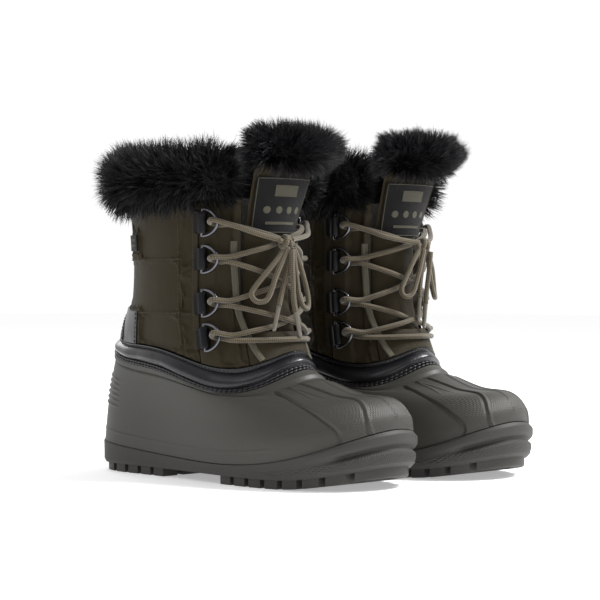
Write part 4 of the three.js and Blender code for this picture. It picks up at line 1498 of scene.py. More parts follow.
@dataclass
class LeatherWork:
    """The padded band round the shell's edge and the heel counter above it, with their stitches."""

    thickness: float = 2.4
    padding: float = 3.0
    low: float = 4.05
    wing_front: float = 119.5
    wing_top: float = 134.0
    rope_levels: tuple[float, float] = (4.07, 4.2)
    rope_proud: float = 1.3
    row_drops: tuple[float, float] = (3.0, 5.4)
    row_proud: float = 1.9

    def band(self) -> Shape:
        """The band, rolled out between its two edges."""
        angle = full_turn(360)
        rise = SIZES.band_level - self.low
        rings = []
        for t in np.linspace(0, 1, 22):
            swell = self.padding * np.sin(math.pi * np.clip((t - 0.2) / 0.66, 0, 1)) ** 0.9
            edge = 0.5 - 1.2 * bump_at(t, 0.9, 0.03)
            ripple = 0.25 * np.sin(np.radians(angle) * 17 + 1.3) * np.sin(math.pi * t)
            rings.append(SKIN.at(angle, self.low + rise * t, swell + edge + ripple))
        behind = np.linspace(1, 0, 6)
        rings += [SKIN.at(angle, self.low + rise * t, -self.thickness) for t in behind]
        return lattice(np.array(rings), ring_rows=True, ring_columns=True)

    @staticmethod
    def heel_arc(share: float, count: int) -> tuple[Array, Array]:
        """Angles across a share of the heel counter, and the height of its edge at each."""
        reach = SIZES.counter_half_angle * share
        angle = 180 + np.linspace(-reach, reach, count)
        return angle, counter_arc(np.where(angle > 180, angle - 360, angle))

    def counter(self) -> Shape:
        """The heel counter."""
        angle, edge = self.heel_arc(0.94, 61)
        high = SKIN.level_at(angle, edge - 0.4)
        t = np.linspace(0, 1, 16)[:, None]
        level = SIZES.panel_level + (high - SIZES.panel_level) * t
        return skin_slab(angle, level, 1.5 + 0.5 * np.sin(math.pi * t), -self.thickness)

    def wing(self, half: Half) -> Shape:
        """The facing beside the heel counter, whose front edge stands upright on the quarter."""
        turn = np.linspace(self.wing_front, 171, 60)
        base = SKIN.level_at(turn, counter_arc(turn) - 4)
        low = np.where(turn > 180 - SIZES.counter_half_angle, base, SIZES.panel_level)
        high = SKIN.level_at(turn, self.wing_top + 4 * smooth_step(turn, self.wing_front, 165))
        t = np.linspace(0, 1, 18)[:, None]
        level = np.maximum(low, SIZES.panel_level)
        level = level + (np.maximum(high, level + 0.02) - level) * t
        proud = 0.75 + 0.35 * np.sin(math.pi * t) * np.minimum(1, (turn - self.wing_front) / 3)
        return skin_slab(half.value * turn, level, proud, -0.9)

    def build(self, place: Placement, room: Workroom) -> None:
        """Makes the pieces and their stitches."""
        pieces = (
            ("counter_wings", Shape.joined([self.wing(half) for half in Half]), ()),
            ("rand_band", self.band(), ("rand_band",)),
            ("heel_counter", self.counter(), ("heel_counter",)),
        )
        for name, shape, nodes in pieces:
            craft = Crafted(room.finishes.leather, Finish.LEATHER, nodes, crease=50)
            make(name, shape, place, craft)
        thread = Crafted(room.finishes.thread, Finish.LEATHER)
        angle = np.linspace(-180, 180, 721)
        ropes = [SKIN.at(angle, level, self.rope_proud) for level in self.rope_levels]
        room.stitcher.rows("band_ropes", ropes, ROPE_STITCH, place, thread)
        turn, edge = self.heel_arc(0.9, 121)
        tops = [SKIN.at(angle, 4.945, 0.75)]
        tops += [SKIN.by_height(turn, edge - drop, self.row_proud) for drop in self.row_drops]
        for half in Half:
            rise = np.linspace(SKIN.at(self.wing_front, 5.1, 0)[2], self.wing_top - 2, 20)
            tops.append(SKIN.by_height(half.value * (self.wing_front + 1.6), rise, 1.0))
        room.stitcher.rows("band_top_stitches", tops, TOP_STITCH, place, thread)


# ---- Quilted nylon -------------------------------------------------------------------------------


@dataclass
class QuiltedPanel:
    """A padded nylon panel of the shaft, held down along its seams and puffed between them."""

    name: str
    angles: tuple[float, ...]
    columns: tuple[int, ...]
    seams: tuple[float, ...]
    seam_from: float
    puff: float
    depth: float = -1.7
    thickness: float = 8.0
    step: float = 1.35
    held_angles: tuple[float, float] = (400.0, 400.0)
    flats: tuple[tuple[float, float, float, float], ...] = ()
    excess: float = 0.07
    shown: tuple[Array, ...] = ()

    SCALE = 0.01
    FRAMES = range(1, 21)
    MOST_SIDEWAYS = 1.4

    def __post_init__(self) -> None:
        """Lays out the panel's grid of angles and heights, with columns and rows on the seams."""
        spans = zip(self.angles, self.angles[1:], self.columns)
        parts = [np.linspace(a, b, n, endpoint=False) for a, b, n in spans]
        self.angle = np.concatenate([*parts, [self.angles[-1]]])
        start = SKIN.point(self.angle, SIZES.panel_level)[..., 2]
        levels = [np.maximum(counter_arc(self.angle) + 0.6, start)]
        for stop in (*self.seams, SIZES.shaft_top):
            levels.append(np.maximum(stop, levels[-1] + 1.5))
        rows = []
        for a, b in zip(levels, levels[1:]):
            n = max(2, round(float(np.median(b - a)) / self.step))
            rows += [a + (b - a) * t for t in np.linspace(0, 1, n, endpoint=False)]
        self.height = np.array([*rows, levels[-1]])
        self.seam_rows = np.array(levels[1:-1])
        self.grid = np.broadcast_to(self.angle, self.height.shape)
        self.level = SKIN.level_at(self.grid, self.height)

    def held(self) -> Array:
        """Where the cloth is sewn down, 1 or 0 at each point of the grid."""
        held = np.zeros(self.grid.shape, bool)
        held[0], held[-1], held[:, 0], held[:, -1] = True, True, True, True
        for turn in self.angles[1:-1]:
            held |= np.abs(self.grid - turn) < 0.05
        for row in self.seam_rows:
            held |= (np.abs(self.height - row) < 0.05) & (self.grid >= self.seam_from)
        held |= (self.grid > self.held_angles[0]) & (self.grid < self.held_angles[1])
        for flat in self.flats:
            held |= self.inside(flat)
        return held

    def inside(self, flat: tuple[float, float, float, float]) -> Array:
        """Where the grid is inside a span of angles and heights."""
        a, b, low, high = flat
        across = (self.grid > a) & (self.grid < b)
        return across & (self.height > low) & (self.height < high)

    @staticmethod
    def around(values: Array) -> Array:
        """The sum of the four neighbours of each inner point of a grid."""
        return values[:-2, 1:-1] + values[2:, 1:-1] + values[1:-1, :-2] + values[1:-1, 2:]

    def rest_offset(self) -> Array:
        """The cloth before it is puffed: a shallow trench along the seams."""
        near = self.held().astype(float)
        for _ in range(3):
            near[1:-1, 1:-1] = np.maximum(near[1:-1, 1:-1], 0.25 * self.around(near))
        trench = self.depth * near
        for flat in self.flats:
            trench = np.where(self.inside(flat), -0.2, trench)
        strip = (self.grid > self.held_angles[0]) & (self.grid < self.held_angles[1])
        return np.where(strip, 0.0, trench)

    def settle(self) -> tuple[Array, ...]:
        """Puffs the panel.

        Returns:
            The move of each point outwards, round the boot and up, in millimetres.
        """
        if not self.shown:
            self.shown = self._cloth(self.rest_offset())
        return self.shown

    def _sewn(self, flat: Array) -> bpy.types.Object:
        """The panel as a cloth that is a little too large, sewn down where it is held."""
        mesh = lattice(flat * self.SCALE).in_mesh(bpy.data.meshes.new("cloth"))
        obj = linked("cloth", mesh)
        group = obj.vertex_groups.new(name="sewn")
        group.add(np.flatnonzero(self.held().reshape(-1)).tolist(), 1.0, "REPLACE")
        modifier = obj.modifiers.new("Cloth", "CLOTH")
        cloth = modifier.settings
        cloth.vertex_group_mass = "sewn"
        cloth.quality = 5
        cloth.mass = 0.004
        cloth.tension_stiffness = cloth.compression_stiffness = 12.0
        cloth.shear_stiffness = 6.0
        cloth.bending_stiffness = 0.05
        cloth.use_pressure = True
        cloth.uniform_pressure_force = 4.0
        cloth.shrink_min = -self.excess
        cloth.effector_weights.gravity = 0.0
        modifier.collision_settings.use_collision = False
        cache = modifier.point_cache
        cache.frame_start, cache.frame_end = self.FRAMES[0], self.FRAMES[-1]
        return obj

    def _cloth(self, start: Array) -> tuple[Array, ...]:
        """Blows the panel up, and scales the move out to the wanted puff."""
        scene = bpy.context.scene
        flat = SKIN.at(self.grid, self.level, start + 0.3 * ~self.held())
        obj = self._sewn(flat)
        for number in self.FRAMES:
            scene.frame_set(number)
        settled = obj.evaluated_get(bpy.context.evaluated_depsgraph_get()).to_mesh()
        found = np.zeros(len(settled.vertices) * 3)
        settled.vertices.foreach_get("co", found)
        bpy.data.objects.remove(obj)
        scene.frame_set(self.FRAMES[0])
        move = found.reshape(flat.shape) / self.SCALE - SKIN.point(self.grid, self.level)
        axes = SKIN.frame(self.grid, self.level)
        out, *sideways = ((move * axis).sum(-1) for axis in axes)
        high = float(np.percentile(out, 98))
        log.info("%s cloth: puffed by %.2f mm", self.name, high)
        share = self.puff / max(high, 1e-3)
        if share < 1:
            out = np.where(out > 0, out * share, out)
        out = np.clip(out, self.depth - 0.5, self.puff * 1.25)
        most = self.MOST_SIDEWAYS
        return out, *(np.clip(way, -most, most) for way in sideways)

    def shape(self, half: Half) -> Shape:
        """The panel on one side of the boot."""
        out, along, up = self.settle()
        angle = self.grid * half.value
        normal, ways, rise = SKIN.frame(angle, self.level)
        face = SKIN.point(angle, self.level) + normal * out[..., None] + rise * up[..., None]
        face = face + ways * (along * half.value)[..., None]
        return slab(face, SKIN.at(angle, self.level, -self.thickness + 0.3))

    def build(self, place: Placement, material: bpy.types.Material, slot: Finish) -> None:
        """Makes the panel on both sides of a boot."""
        for half in Half:
            node = f"{self.name}_{half.name.lower()}"
            craft = Crafted(material, slot, (node,), fill=0.6, crease=60)
            make(node, self.shape(half), place, craft)


@dataclass
class Shaft:
    """The nylon shaft: quarters, front panels and vamp, with their seams and webbing tapes."""

    seam_heights: Span = (132.0, 175.0)
    side_seam: float = 79.0
    tape_width: float = 5.4
    tape_proud: float = 0.9
    stitch_rise: Span = (121.0, 222.0)
    seam_offset: float = -0.4

    TAPE = ((42, 190), (42, 178), (41, 160), (40, 139), (38, 126), (35, 114), (32, 104), (29, 96.5))

    def __post_init__(self) -> None:
        """Lays out the panels."""
        self.quarter = QuiltedPanel(
            "quarter", (68.6, self.side_seam, 179.6), (9, 96), self.seam_heights, self.side_seam,
            puff=4.2, flats=((119.5, 132.5, 182.8, 197.4), (118.8, 181.0, 90.0, 134.8)),
        )
        self.front = QuiltedPanel(
            "eyestay", (37.7, 44.5, 68.0), (6, 22), (), 400.0, puff=0.9, step=1.5,
            held_angles=(55.0, 67.0), excess=0.03,
        )

    def vamp(self) -> Shape:
        """The panel at the foot of the throat."""
        angle = np.linspace(-SIZES.throat_angle, SIZES.throat_angle, 61)
        t = np.linspace(0, 1, 18)[:, None]
        level = SIZES.panel_level + (SKIN.level_at(angle, 119.0) - SIZES.panel_level) * t
        proud = 0.8 * np.sin(math.pi * t) * (1 - (angle / 38) ** 4)
        return skin_slab(angle, level, proud, -2.4)

    def stitches(self) -> list[Array]:
        """The lines of the stitches beside the seams."""
        rise = np.linspace(*self.stitch_rise, 90)
        uprights = ((69.9, rise, 0.1), (self.side_seam + 1.4, rise, 0.0), (66.4, rise - 3, 0.5))
        keep = self.quarter.angle >= self.side_seam
        turn = self.quarter.angle[keep]
        lines = []
        for half in Half:
            lines += [SKIN.by_height(half.value * angle, *rest) for angle, *rest in uprights]
            for row in self.quarter.seam_rows:
                level = SKIN.level_at(turn, row[keep] + 1.1)
                lines.append(SKIN.at(half.value * turn, level, self.seam_offset))
        return lines

    def tapes(self) -> Shape:
        """The webbing tapes down the front."""
        stops, middle = np.array(self.TAPE, float), np.array([0.0, 110.0, 0.0])
        tapes = []
        for half in Half:
            line = smooth_line(SKIN.by_height(half.value * stops[:, 0], stops[:, 1], 0.95), 1.5)
            out = (line - middle) * [1, 1, 0.0] + [0, 0, 12.0]
            out /= np.linalg.norm(out, axis=1, keepdims=True)
            tapes.append(ribbon(line, out, self.tape_width, self.tape_proud))
        return Shape.joined(tapes)

    def build(self, place: Placement, room: Workroom) -> None:
        """Makes the pieces."""
        finishes = room.finishes
        self.quarter.build(place, finishes.quilt, Finish.QUILT)
        self.front.build(place, finishes.stay, Finish.STAY)
        craft = Crafted(finishes.stay, Finish.STAY, ("vamp",), crease=50)
        make("vamp", self.vamp(), place, craft)
        craft = Crafted(finishes.tape, Finish.STAY, crease=50)
        make("webbing_tapes", self.tapes(), place, craft)
        thread = Crafted(finishes.tan_thread, Finish.QUILT)
        room.stitcher.rows("shaft_stitches", self.stitches(), FINE_STITCH, place, thread)


# ---- Tongue --------------------------------------------------------------------------------------


@dataclass
class Tongue:
    """The padded tongue, which leans forward and opens out above the laces, and its patch."""

    recess: float = 7.0
    thickness: float = 4.5
    top: float = 252.0
    bend: float = 186.0
    lean: float = 12.0
    spread: float = 0.4
    flatten: float = 0.8
    fur_top: float = 283.0
    patch_low: float = 196.0
    patch_high: float = 240.0
    patch_thickness: float = 1.5
    patch_reach: float = 32.0
    bar_proud: float = 0.45

    def at(self, angle: Height, height: Height, offset: Height) -> Array:
        """A point of the tongue."""
        angle, height = np.broadcast_arrays(np.asarray(angle, float), np.asarray(height, float))
        level = SKIN.level_at(angle, height)
        p = SKIN.at(angle, level, offset)
        t = np.maximum(0, (height - self.bend) / (self.fur_top - self.bend))
        p[..., 0] *= 1 + self.spread * t
        sag = SKIN.point(np.zeros_like(angle), level)[..., 1] - SKIN.point(angle, level)[..., 1]
        p[..., 1] += t * (self.flatten * sag + self.lean)
        return p

    def body(self) -> Shape:
        """The tongue, padded along its middle and hemmed at its edges."""
        angle = np.linspace(-SIZES.throat_angle + 1, SIZES.throat_angle - 1, 61)
        height = np.linspace(SKIN.point(0, SIZES.panel_level)[2], self.top, 90)[:, None]
        across = 1 - np.abs(angle / (SIZES.throat_angle - 1)) ** 6
        folds = 0.5 * np.sin(height / 6.1 + np.sin(angle / 9) * 1.4)
        folds = folds * smooth_step(-height, -200, -150)
        proud = (1.4 * across + folds * across) * (1 - smooth_step(height, 190, 198))
        hem = -0.8 * bump_at(np.abs(angle), 32.5, 0.8) * smooth_step(height, 200, 214)
        face = self.at(angle, height, -self.recess + proud + hem)
        return slab(face, self.at(angle, height, -self.recess - self.thickness))

    def on_patch(self, x: Array, y: Array, proud: float) -> Array:
        """A point of the patch from -1 to 1 across and from 0 to 1 up."""
        height = self.patch_low + (self.patch_high - self.patch_low) * np.asarray(y, float)
        face = -self.recess + 0.4 + self.patch_thickness + proud
        return self.at(np.asarray(x, float) * self.patch_reach, height, face)

    def mark(self, x: Span, y: Span) -> Shape:
        """A flat raised bar of the patch."""
        across, up = share_grid(x, y, 7, 5)
        return slab(self.on_patch(across, up, self.bar_proud), self.on_patch(across, up, -0.3))

    def disc(self, x: float, y: float, radius: float) -> Shape:
        """A round raised dot of the patch."""
        turn = np.linspace(0, 2 * math.pi, 17)[:-1]
        rings = []
        for reach, proud in ((1.0, -0.3), (1.0, 0.4), (0.8, 0.5)):
            across = x + radius * reach * np.cos(turn) / 26
            up = y + radius * reach * np.sin(turn) / 44
            rings.append(self.on_patch(across, up, proud))
        return closed_rings(np.array(rings))

    def patch(self) -> Shape:
        """The cloth of the patch."""
        across, up = share_grid((-1, 1), (0, 1), 31, 31)
        back = self.on_patch(across, up, -self.patch_thickness)
        return slab(self.on_patch(across, up, 0.0), back)

    def piping(self) -> Shape:
        """The pale cord round the patch's edge."""
        steps = np.linspace(-1, 1, 16)[:-1]
        ones = np.ones_like(steps)
        x = np.concatenate([steps, ones, -steps, -ones]) * 0.955
        y = 0.5 + 0.5 * np.concatenate([-ones, steps, ones, -steps]) * 0.955
        return tube(self.on_patch(x, y, 0.15), 0.45, 6, closed=True)

    def build(self, place: Placement, room: Workroom) -> None:
        """Makes the pieces."""
        finishes = room.finishes
        craft = Crafted(finishes.quilt, Finish.QUILT, ("tongue",), fill=0.5, crease=60)
        make("tongue", self.body(), place, craft)
        craft = Crafted(finishes.patch, Finish.PATCH, ("tongue_patch",), crease=50)
        make("tongue_patch", self.patch(), place, craft)
        make("patch_piping", self.piping(), place, Crafted(finishes.pale, Finish.PATCH))
        bars = [self.mark((-0.42, 0.42), (0.66, 0.86)), self.mark((-0.6, 0.6), (0.16, 0.21))]
        dots = [self.disc(x, 0.42, 2.9) for x in (-0.6, -0.2, 0.2, 0.6)]
        craft = Crafted(finishes.pale, Finish.PATCH, crease=50)
        make("patch_marks", Shape.joined(bars + dots), place, craft)


TONGUE = Tongue()


# ---- Fur -----------------------------------------------------------------------------------------


@dataclass
class FurTrim:
    """The fur of the collar and of the tongue's edge: dark pads that hair grows on."""

    collar_from: float = 46.0
    collar_hairs: int = 25500
    tongue_hairs: int = 17000
    hair_length: float = 16.5
    edge_share: float = 0.95

    COLLAR = (
        (221, 5), (229, 11), (240, 13), (251, 12), (258.5, 5), (259.5, -4),
        (254, -9.5), (243, -10.5), (232, -9), (226, -4), (223, 1),
    )
    COLLAR_SEEDS = {Side.RIGHT: 11, Side.LEFT: 12}
    TONGUE_EDGE = (
        (253, 0), (260, 2.5), (267, 1.5), (271.5, -3), (272, -9), (267, -14), (260, -15),
        (254, -12), (251.5, -6),
    )
    TONGUE_SEEDS = {Side.RIGHT: 21, Side.LEFT: 22}

    @staticmethod
    def _sections(rings: list[Array], step: float, most: int) -> Array:
        """Even closed sections, all with one count of points."""
        sections = [smooth_line(ring, step, closed=True)[:most] for ring in rings]
        count = min(len(s) for s in sections)
        return np.array([s[np.linspace(0, len(s) - 1, count).astype(int)] for s in sections])

    @staticmethod
    def _units(ways: Array) -> Array:
        """Directions as units."""
        return ways / np.linalg.norm(ways, axis=-1, keepdims=True)

    def _grow(
        self, name: str, points: Array, hair: Array, ways: Array, growth: tuple[int, float, int],
        place: Placement, room: Workroom,
    ) -> None:
        """Makes a pad and grows its hair.

        Args:
            name: the piece's name without its side.
            points: the pad's sections.
            hair: how densely hair grows at each point.
            ways: which way it lies there.
            growth: the count of hairs, their length and the seed.
            place: the boot's place.
            room: the finishes and tools.
        """
        shape = closed_rings(points)
        first, last = ways[0], ways[-1]
        comb = np.vstack([ways.reshape(-1, 3), first, first.mean(0), last, last.mean(0)])
        shape.values["hair"] = np.concatenate([hair.reshape(-1), hair[0], [0.6], hair[-1], [0.6]])
        obj = raw_object(f"{place.side.value}_{name}_look", shape, place)
        turned = comb * [place.sign, -1, 1]
        attribute = obj.data.attributes.new("comb", "FLOAT_VECTOR", "POINT")
        attribute.data.foreach_set("vector", turned.reshape(-1).astype(np.float32))
        tidy_mesh(obj.data, 180)
        fur = room.finishes.fur
        room.furrier.cover(obj, fur, *growth)
        dress(obj, place, Crafted(fur, Finish.FUR, (name,)))

    def collar(self, place: Placement, room: Workroom) -> None:
        """The fur round the top of the shaft."""
        turns = np.linspace(self.collar_from, 360 - self.collar_from, 131)
        stops = np.array(self.COLLAR, float).T
        angles = np.where(turns > 180, turns - 360, turns)
        points = self._sections([SKIN.by_height(angle, *stops) for angle in angles], 3.2, 38)
        ways = self._units(points - points.mean(1, keepdims=True))
        ways[..., 2] += np.where(ways[..., 2] < -0.2, 0.15, 0.2)
        ends = smooth_step(np.abs(turns - 180), 118, 134)[:, None]
        ways[..., 1] += ends * 1.3
        ways[..., 2] -= ends * 0.2
        hair = np.clip(1.0 - 0.55 * smooth_step(-points[..., 2], -229, -223), 0.1, 1)
        growth = self.collar_hairs, self.hair_length, self.COLLAR_SEEDS[place.side]
        self._grow("collar_fur", points, hair, self._units(ways), growth, place, room)

    def edge(self, place: Placement, room: Workroom) -> None:
        """The fur at the top of the tongue."""
        turns = np.linspace(-39.5, 39.5, 65)
        stops = np.array(self.TONGUE_EDGE, float).T
        points = self._sections([TONGUE.at(turn, *stops) for turn in turns], 3.0, 24)
        ways = self._units(points - points.mean(1, keepdims=True))
        ways[..., 2] += np.where(ways[..., 2] < 0, 0.45, 0.1)
        ends = smooth_step(np.abs(turns), 20, 35)[:, None] * np.sign(turns)[:, None]
        ways[..., 0] += ends * 1.7
        hair = np.clip(1.0 - 0.5 * smooth_step(-points[..., 2], -257, -251), 0.1, 1)
        length = self.hair_length * self.edge_share
        growth = self.tongue_hairs, length, self.TONGUE_SEEDS[place.side]
        self._grow("tongue_fur", points, hair, self._units(ways), growth, place, room)

    def build(self, place: Placement, room: Workroom) -> None:
        """Makes the pieces."""
        self.collar(place, room)
        self.edge(place, room)


# ---- Inside --------------------------------------------------------------------------------------


@dataclass
class Inside:
    """The removable felt liner and the footbed in it."""

    liner_face: float = -16.0
    liner_low: float = 18.4
    liner_thickness: float = 3.6
    footbed_low: float = 22.88
    footbed_thickness: float = 4.0
    liner_sole: float = -8.4
    liner_inner: float = -15.0
    footbed_out: float = -19.2

    OUTER = (
        (1, -6.3), (1.8, -5.3), (2.8, -5.7), (4, -7.3), (5, -14.4), (5.6, -13.2), (6.2, -12.4),
        (7.9, -12.4),
    )
    ROLL = ((7.96, -13.2), (7.98, -14.4), (7.94, -15.4))

    def liner(self) -> Shape:
        """The liner, a sock of felt."""
        angle, low = full_turn(120), self.liner_low
        levels, offsets = np.array(self.OUTER).T
        rises = np.linspace(1, 7.9, 50)
        outer = [(level, float(np.interp(level, levels, offsets))) for level in rises]
        inner = [(level, self.liner_face) for level in np.linspace(7.85, 1.7, 42)]
        sole, top = self.liner_sole, low + self.liner_thickness
        rings = [SKIN.floor(angle, sole, low), SKIN.outline(angle, sole, low)]
        rings += [SKIN.at(angle, level, offset) for level, offset in (*outer, *self.ROLL, *inner)]
        within = self.liner_inner
        rings += [SKIN.outline(angle, within, top), SKIN.floor(angle, within, top)]
        return closed_rings(np.array(rings))

    def footbed(self) -> Shape:
        """The footbed."""
        angle, out = full_turn(120), self.footbed_out
        low, high = self.footbed_low, self.footbed_low + self.footbed_thickness
        rings = [SKIN.floor(angle, out, low)]
        for reach, z in ((out, low), (out, high - 0.8), (out - 0.8, high)):
            rings.append(SKIN.outline(angle, reach, z))
        rings.append(SKIN.floor(angle, out, high))
        return closed_rings(np.array(rings))

    def build(self, place: Placement, room: Workroom) -> None:
        """Makes the pieces."""
        craft = Crafted(room.finishes.felt, Finish.FELT, ("liner",), crease=60)
        make("liner", self.liner(), place, craft)
        craft = Crafted(room.finishes.foam, Finish.FOAM, ("footbed",), crease=50)
        make("footbed", self.footbed(), place, craft)


# ---- Rings and lacing ----------------------------------------------------------------------------


@dataclass
class RingSizes:
    """The sizes of the D-rings and their tabs."""

    heights: tuple[float, ...] = (205.0, 176.0, 141.0, 113.5)
    angle: float = 61.0
    wire: float = 1.4
    bar: float = 24.0
    reach: float = 13.0
    stand: float = 6.4
    tab_width: float = 17.0
    tab_reach: float = 10.0
    tab_wall: float = 1.9
    bore_gap: float = 0.45


RINGS = RingSizes()


def ring_frame(half: Half, height: float) -> Callable[[Array], Array]:
    """Maps points from a D-ring's bar (towards the laces, out, up along it) to the boot."""
    angle = half.value * RINGS.angle
    level = SKIN.level_at(angle, height)
    out, _, up = SKIN.frame(angle, level)
    forward = np.cross(out, up)
    forward /= np.linalg.norm(forward)
    if forward[1] < 0:
        forward = -forward
    origin = SKIN.at(angle, level, RINGS.stand)
    axes = np.stack([forward, out, up])
    return lambda points: origin + np.asarray(points, float) @ axes


class Hardware:
    """The hinged D-rings and the leather rolls that hold them."""

    INSETS = ((-1, 0.86), (-0.94, 0.97), (-0.8, 1), (0.8, 1), (0.94, 0.97), (1, 0.86))
    STRIP_PAST = 9.0

    def ring(self, half: Half, height: float) -> Shape:
        """One D-ring, bent from round wire."""
        bow = RINGS.bar / 2 - RINGS.wire
        turn = np.radians(np.linspace(-90, 90, 33))
        bend = np.column_stack([RINGS.reach * np.cos(turn), 0 * turn, bow * np.sin(turn)])
        straight = np.linspace(bow, -bow, 9)[1:-1]
        bar = np.column_stack([0 * straight, 0 * straight, straight])
        return tube(ring_frame(half, height)(np.vstack([bend, bar])), RINGS.wire, 12, closed=True)

    def tab(self, half: Half, height: float) -> Shape:
        """One leather roll round a ring's bar, with its flap sewn flat behind it."""
        foot = -RINGS.stand + 0.4
        roll = RINGS.wire + RINGS.bore_gap + RINGS.tab_wall
        turn = np.radians(np.linspace(-38, 118, 15))
        flap = foot + RINGS.tab_wall
        outline = [(-RINGS.tab_reach, foot), (1.5, foot)]
        outline += [(roll * math.cos(a), roll * math.sin(a)) for a in turn]
        outline += [(-4.6, flap + 1.4), (-6.4, flap + 0.2), (-RINGS.tab_reach + 0.8, flap)]
        plan = np.array(outline)
        middle = plan.mean(0)
        rings = []
        for share, inset in self.INSETS:
            ring = middle + (plan - middle) * inset
            ring[:, 1] = np.maximum(ring[:, 1], foot)
            z = np.full(len(plan), share * (RINGS.tab_width / 2))
            rings.append(np.column_stack([ring, z]))
        return closed_rings(ring_frame(half, height)(np.array(rings)))

    def strip(self, half: Half) -> Shape:
        """The leather strip behind the rolls."""
        span = RINGS.angle + 4.6, RINGS.angle + 8
        low, high = RINGS.heights[-1] - self.STRIP_PAST, RINGS.heights[0] + self.STRIP_PAST
        angle, height = share_grid(span, (low, high), 5, 60)
        angle = half.value * angle
        return skin_slab(angle, SKIN.level_at(angle, height), 2.0, 0.3)

    def build(self, place: Placement, room: Workroom) -> None:
        """Makes the pieces."""
        finishes = room.finishes
        for half in Half:
            side = half.name.lower()
            tabs = Shape.joined([self.tab(half, height) for height in RINGS.heights])
            craft = Crafted(finishes.roll, Finish.LEATHER, (f"ring_tabs_{side}",), crease=40)
            make(f"ring_tabs_{side}", tabs, place, craft)
            craft = Crafted(finishes.stay, Finish.STAY, (f"ring_tabs_{side}",), crease=40)
            make(f"tab_binding_{side}", self.strip(half), place, craft)
            for i, height in enumerate(RINGS.heights):
                node = f"d_ring_{side}_{i + 1}"
                craft = Crafted(finishes.metal, Finish.METAL, (node,), place.node(node))
                make(node, self.ring(half, height), place, craft)


Stops = Sequence[tuple[float, float, float]]


@dataclass(frozen=True)
class Bow:
    """How a bow's loops and tails lie: degrees round the boot, height and distance off the skin."""

    loops: tuple[Stops, ...]
    tails: tuple[Stops, ...]


BOWS = {
    Side.RIGHT: Bow(
        (
            ((6, 185, 9), (14, 174, 9), (21, 164, 9), (27, 155, 9), (30, 148.5, 9.3),
             (28, 142.5, 9.8), (22.5, 141.5, 10.2), (18.5, 147, 10.6), (13.5, 164, 11),
             (5, 186, 11)),
            ((-1, 185, 10), (-7, 172, 11), (-13, 157, 12), (-16, 146, 12.5), (-15.5, 138, 12.5),
             (-12, 134, 12.5), (-7.5, 136, 12.5), (-4, 146, 12.5), (-2, 164, 12), (1, 184, 11.5)),
        ),
        (
            ((2, 184, 9.5), (4, 169, 9.5), (8, 152, 9), (12, 137, 9)),
            ((4, 184, 14), (3, 163, 14.2), (1.5, 143, 12.6), (0.5, 131, 11.4)),
        ),
    ),
    Side.LEFT: Bow(
        (
            ((9, 188, 9), (16, 179, 10), (24, 169, 11), (29, 158, 12), (29, 149, 12.5),
             (25, 144, 13), (20, 146, 13), (16, 155, 12.5), (12, 169, 12), (8, 186, 11.5)),
            ((2, 187, 9), (-5, 176, 9), (-11, 163, 9), (-15, 153, 9.2), (-14.5, 147, 9.8),
             (-10.5, 145, 10.4), (-6.5, 149, 11), (-3, 160, 11.5), (0, 172, 11.8), (4, 186, 11.5)),
        ),
        (
            ((7, 185, 10), (5, 172, 9.6), (3, 158, 9.2), (1.5, 144, 9)),
            ((9, 184, 14.5), (8, 168, 14), (7, 152, 12.6), (6, 138, 11)),
        ),
    ),
}


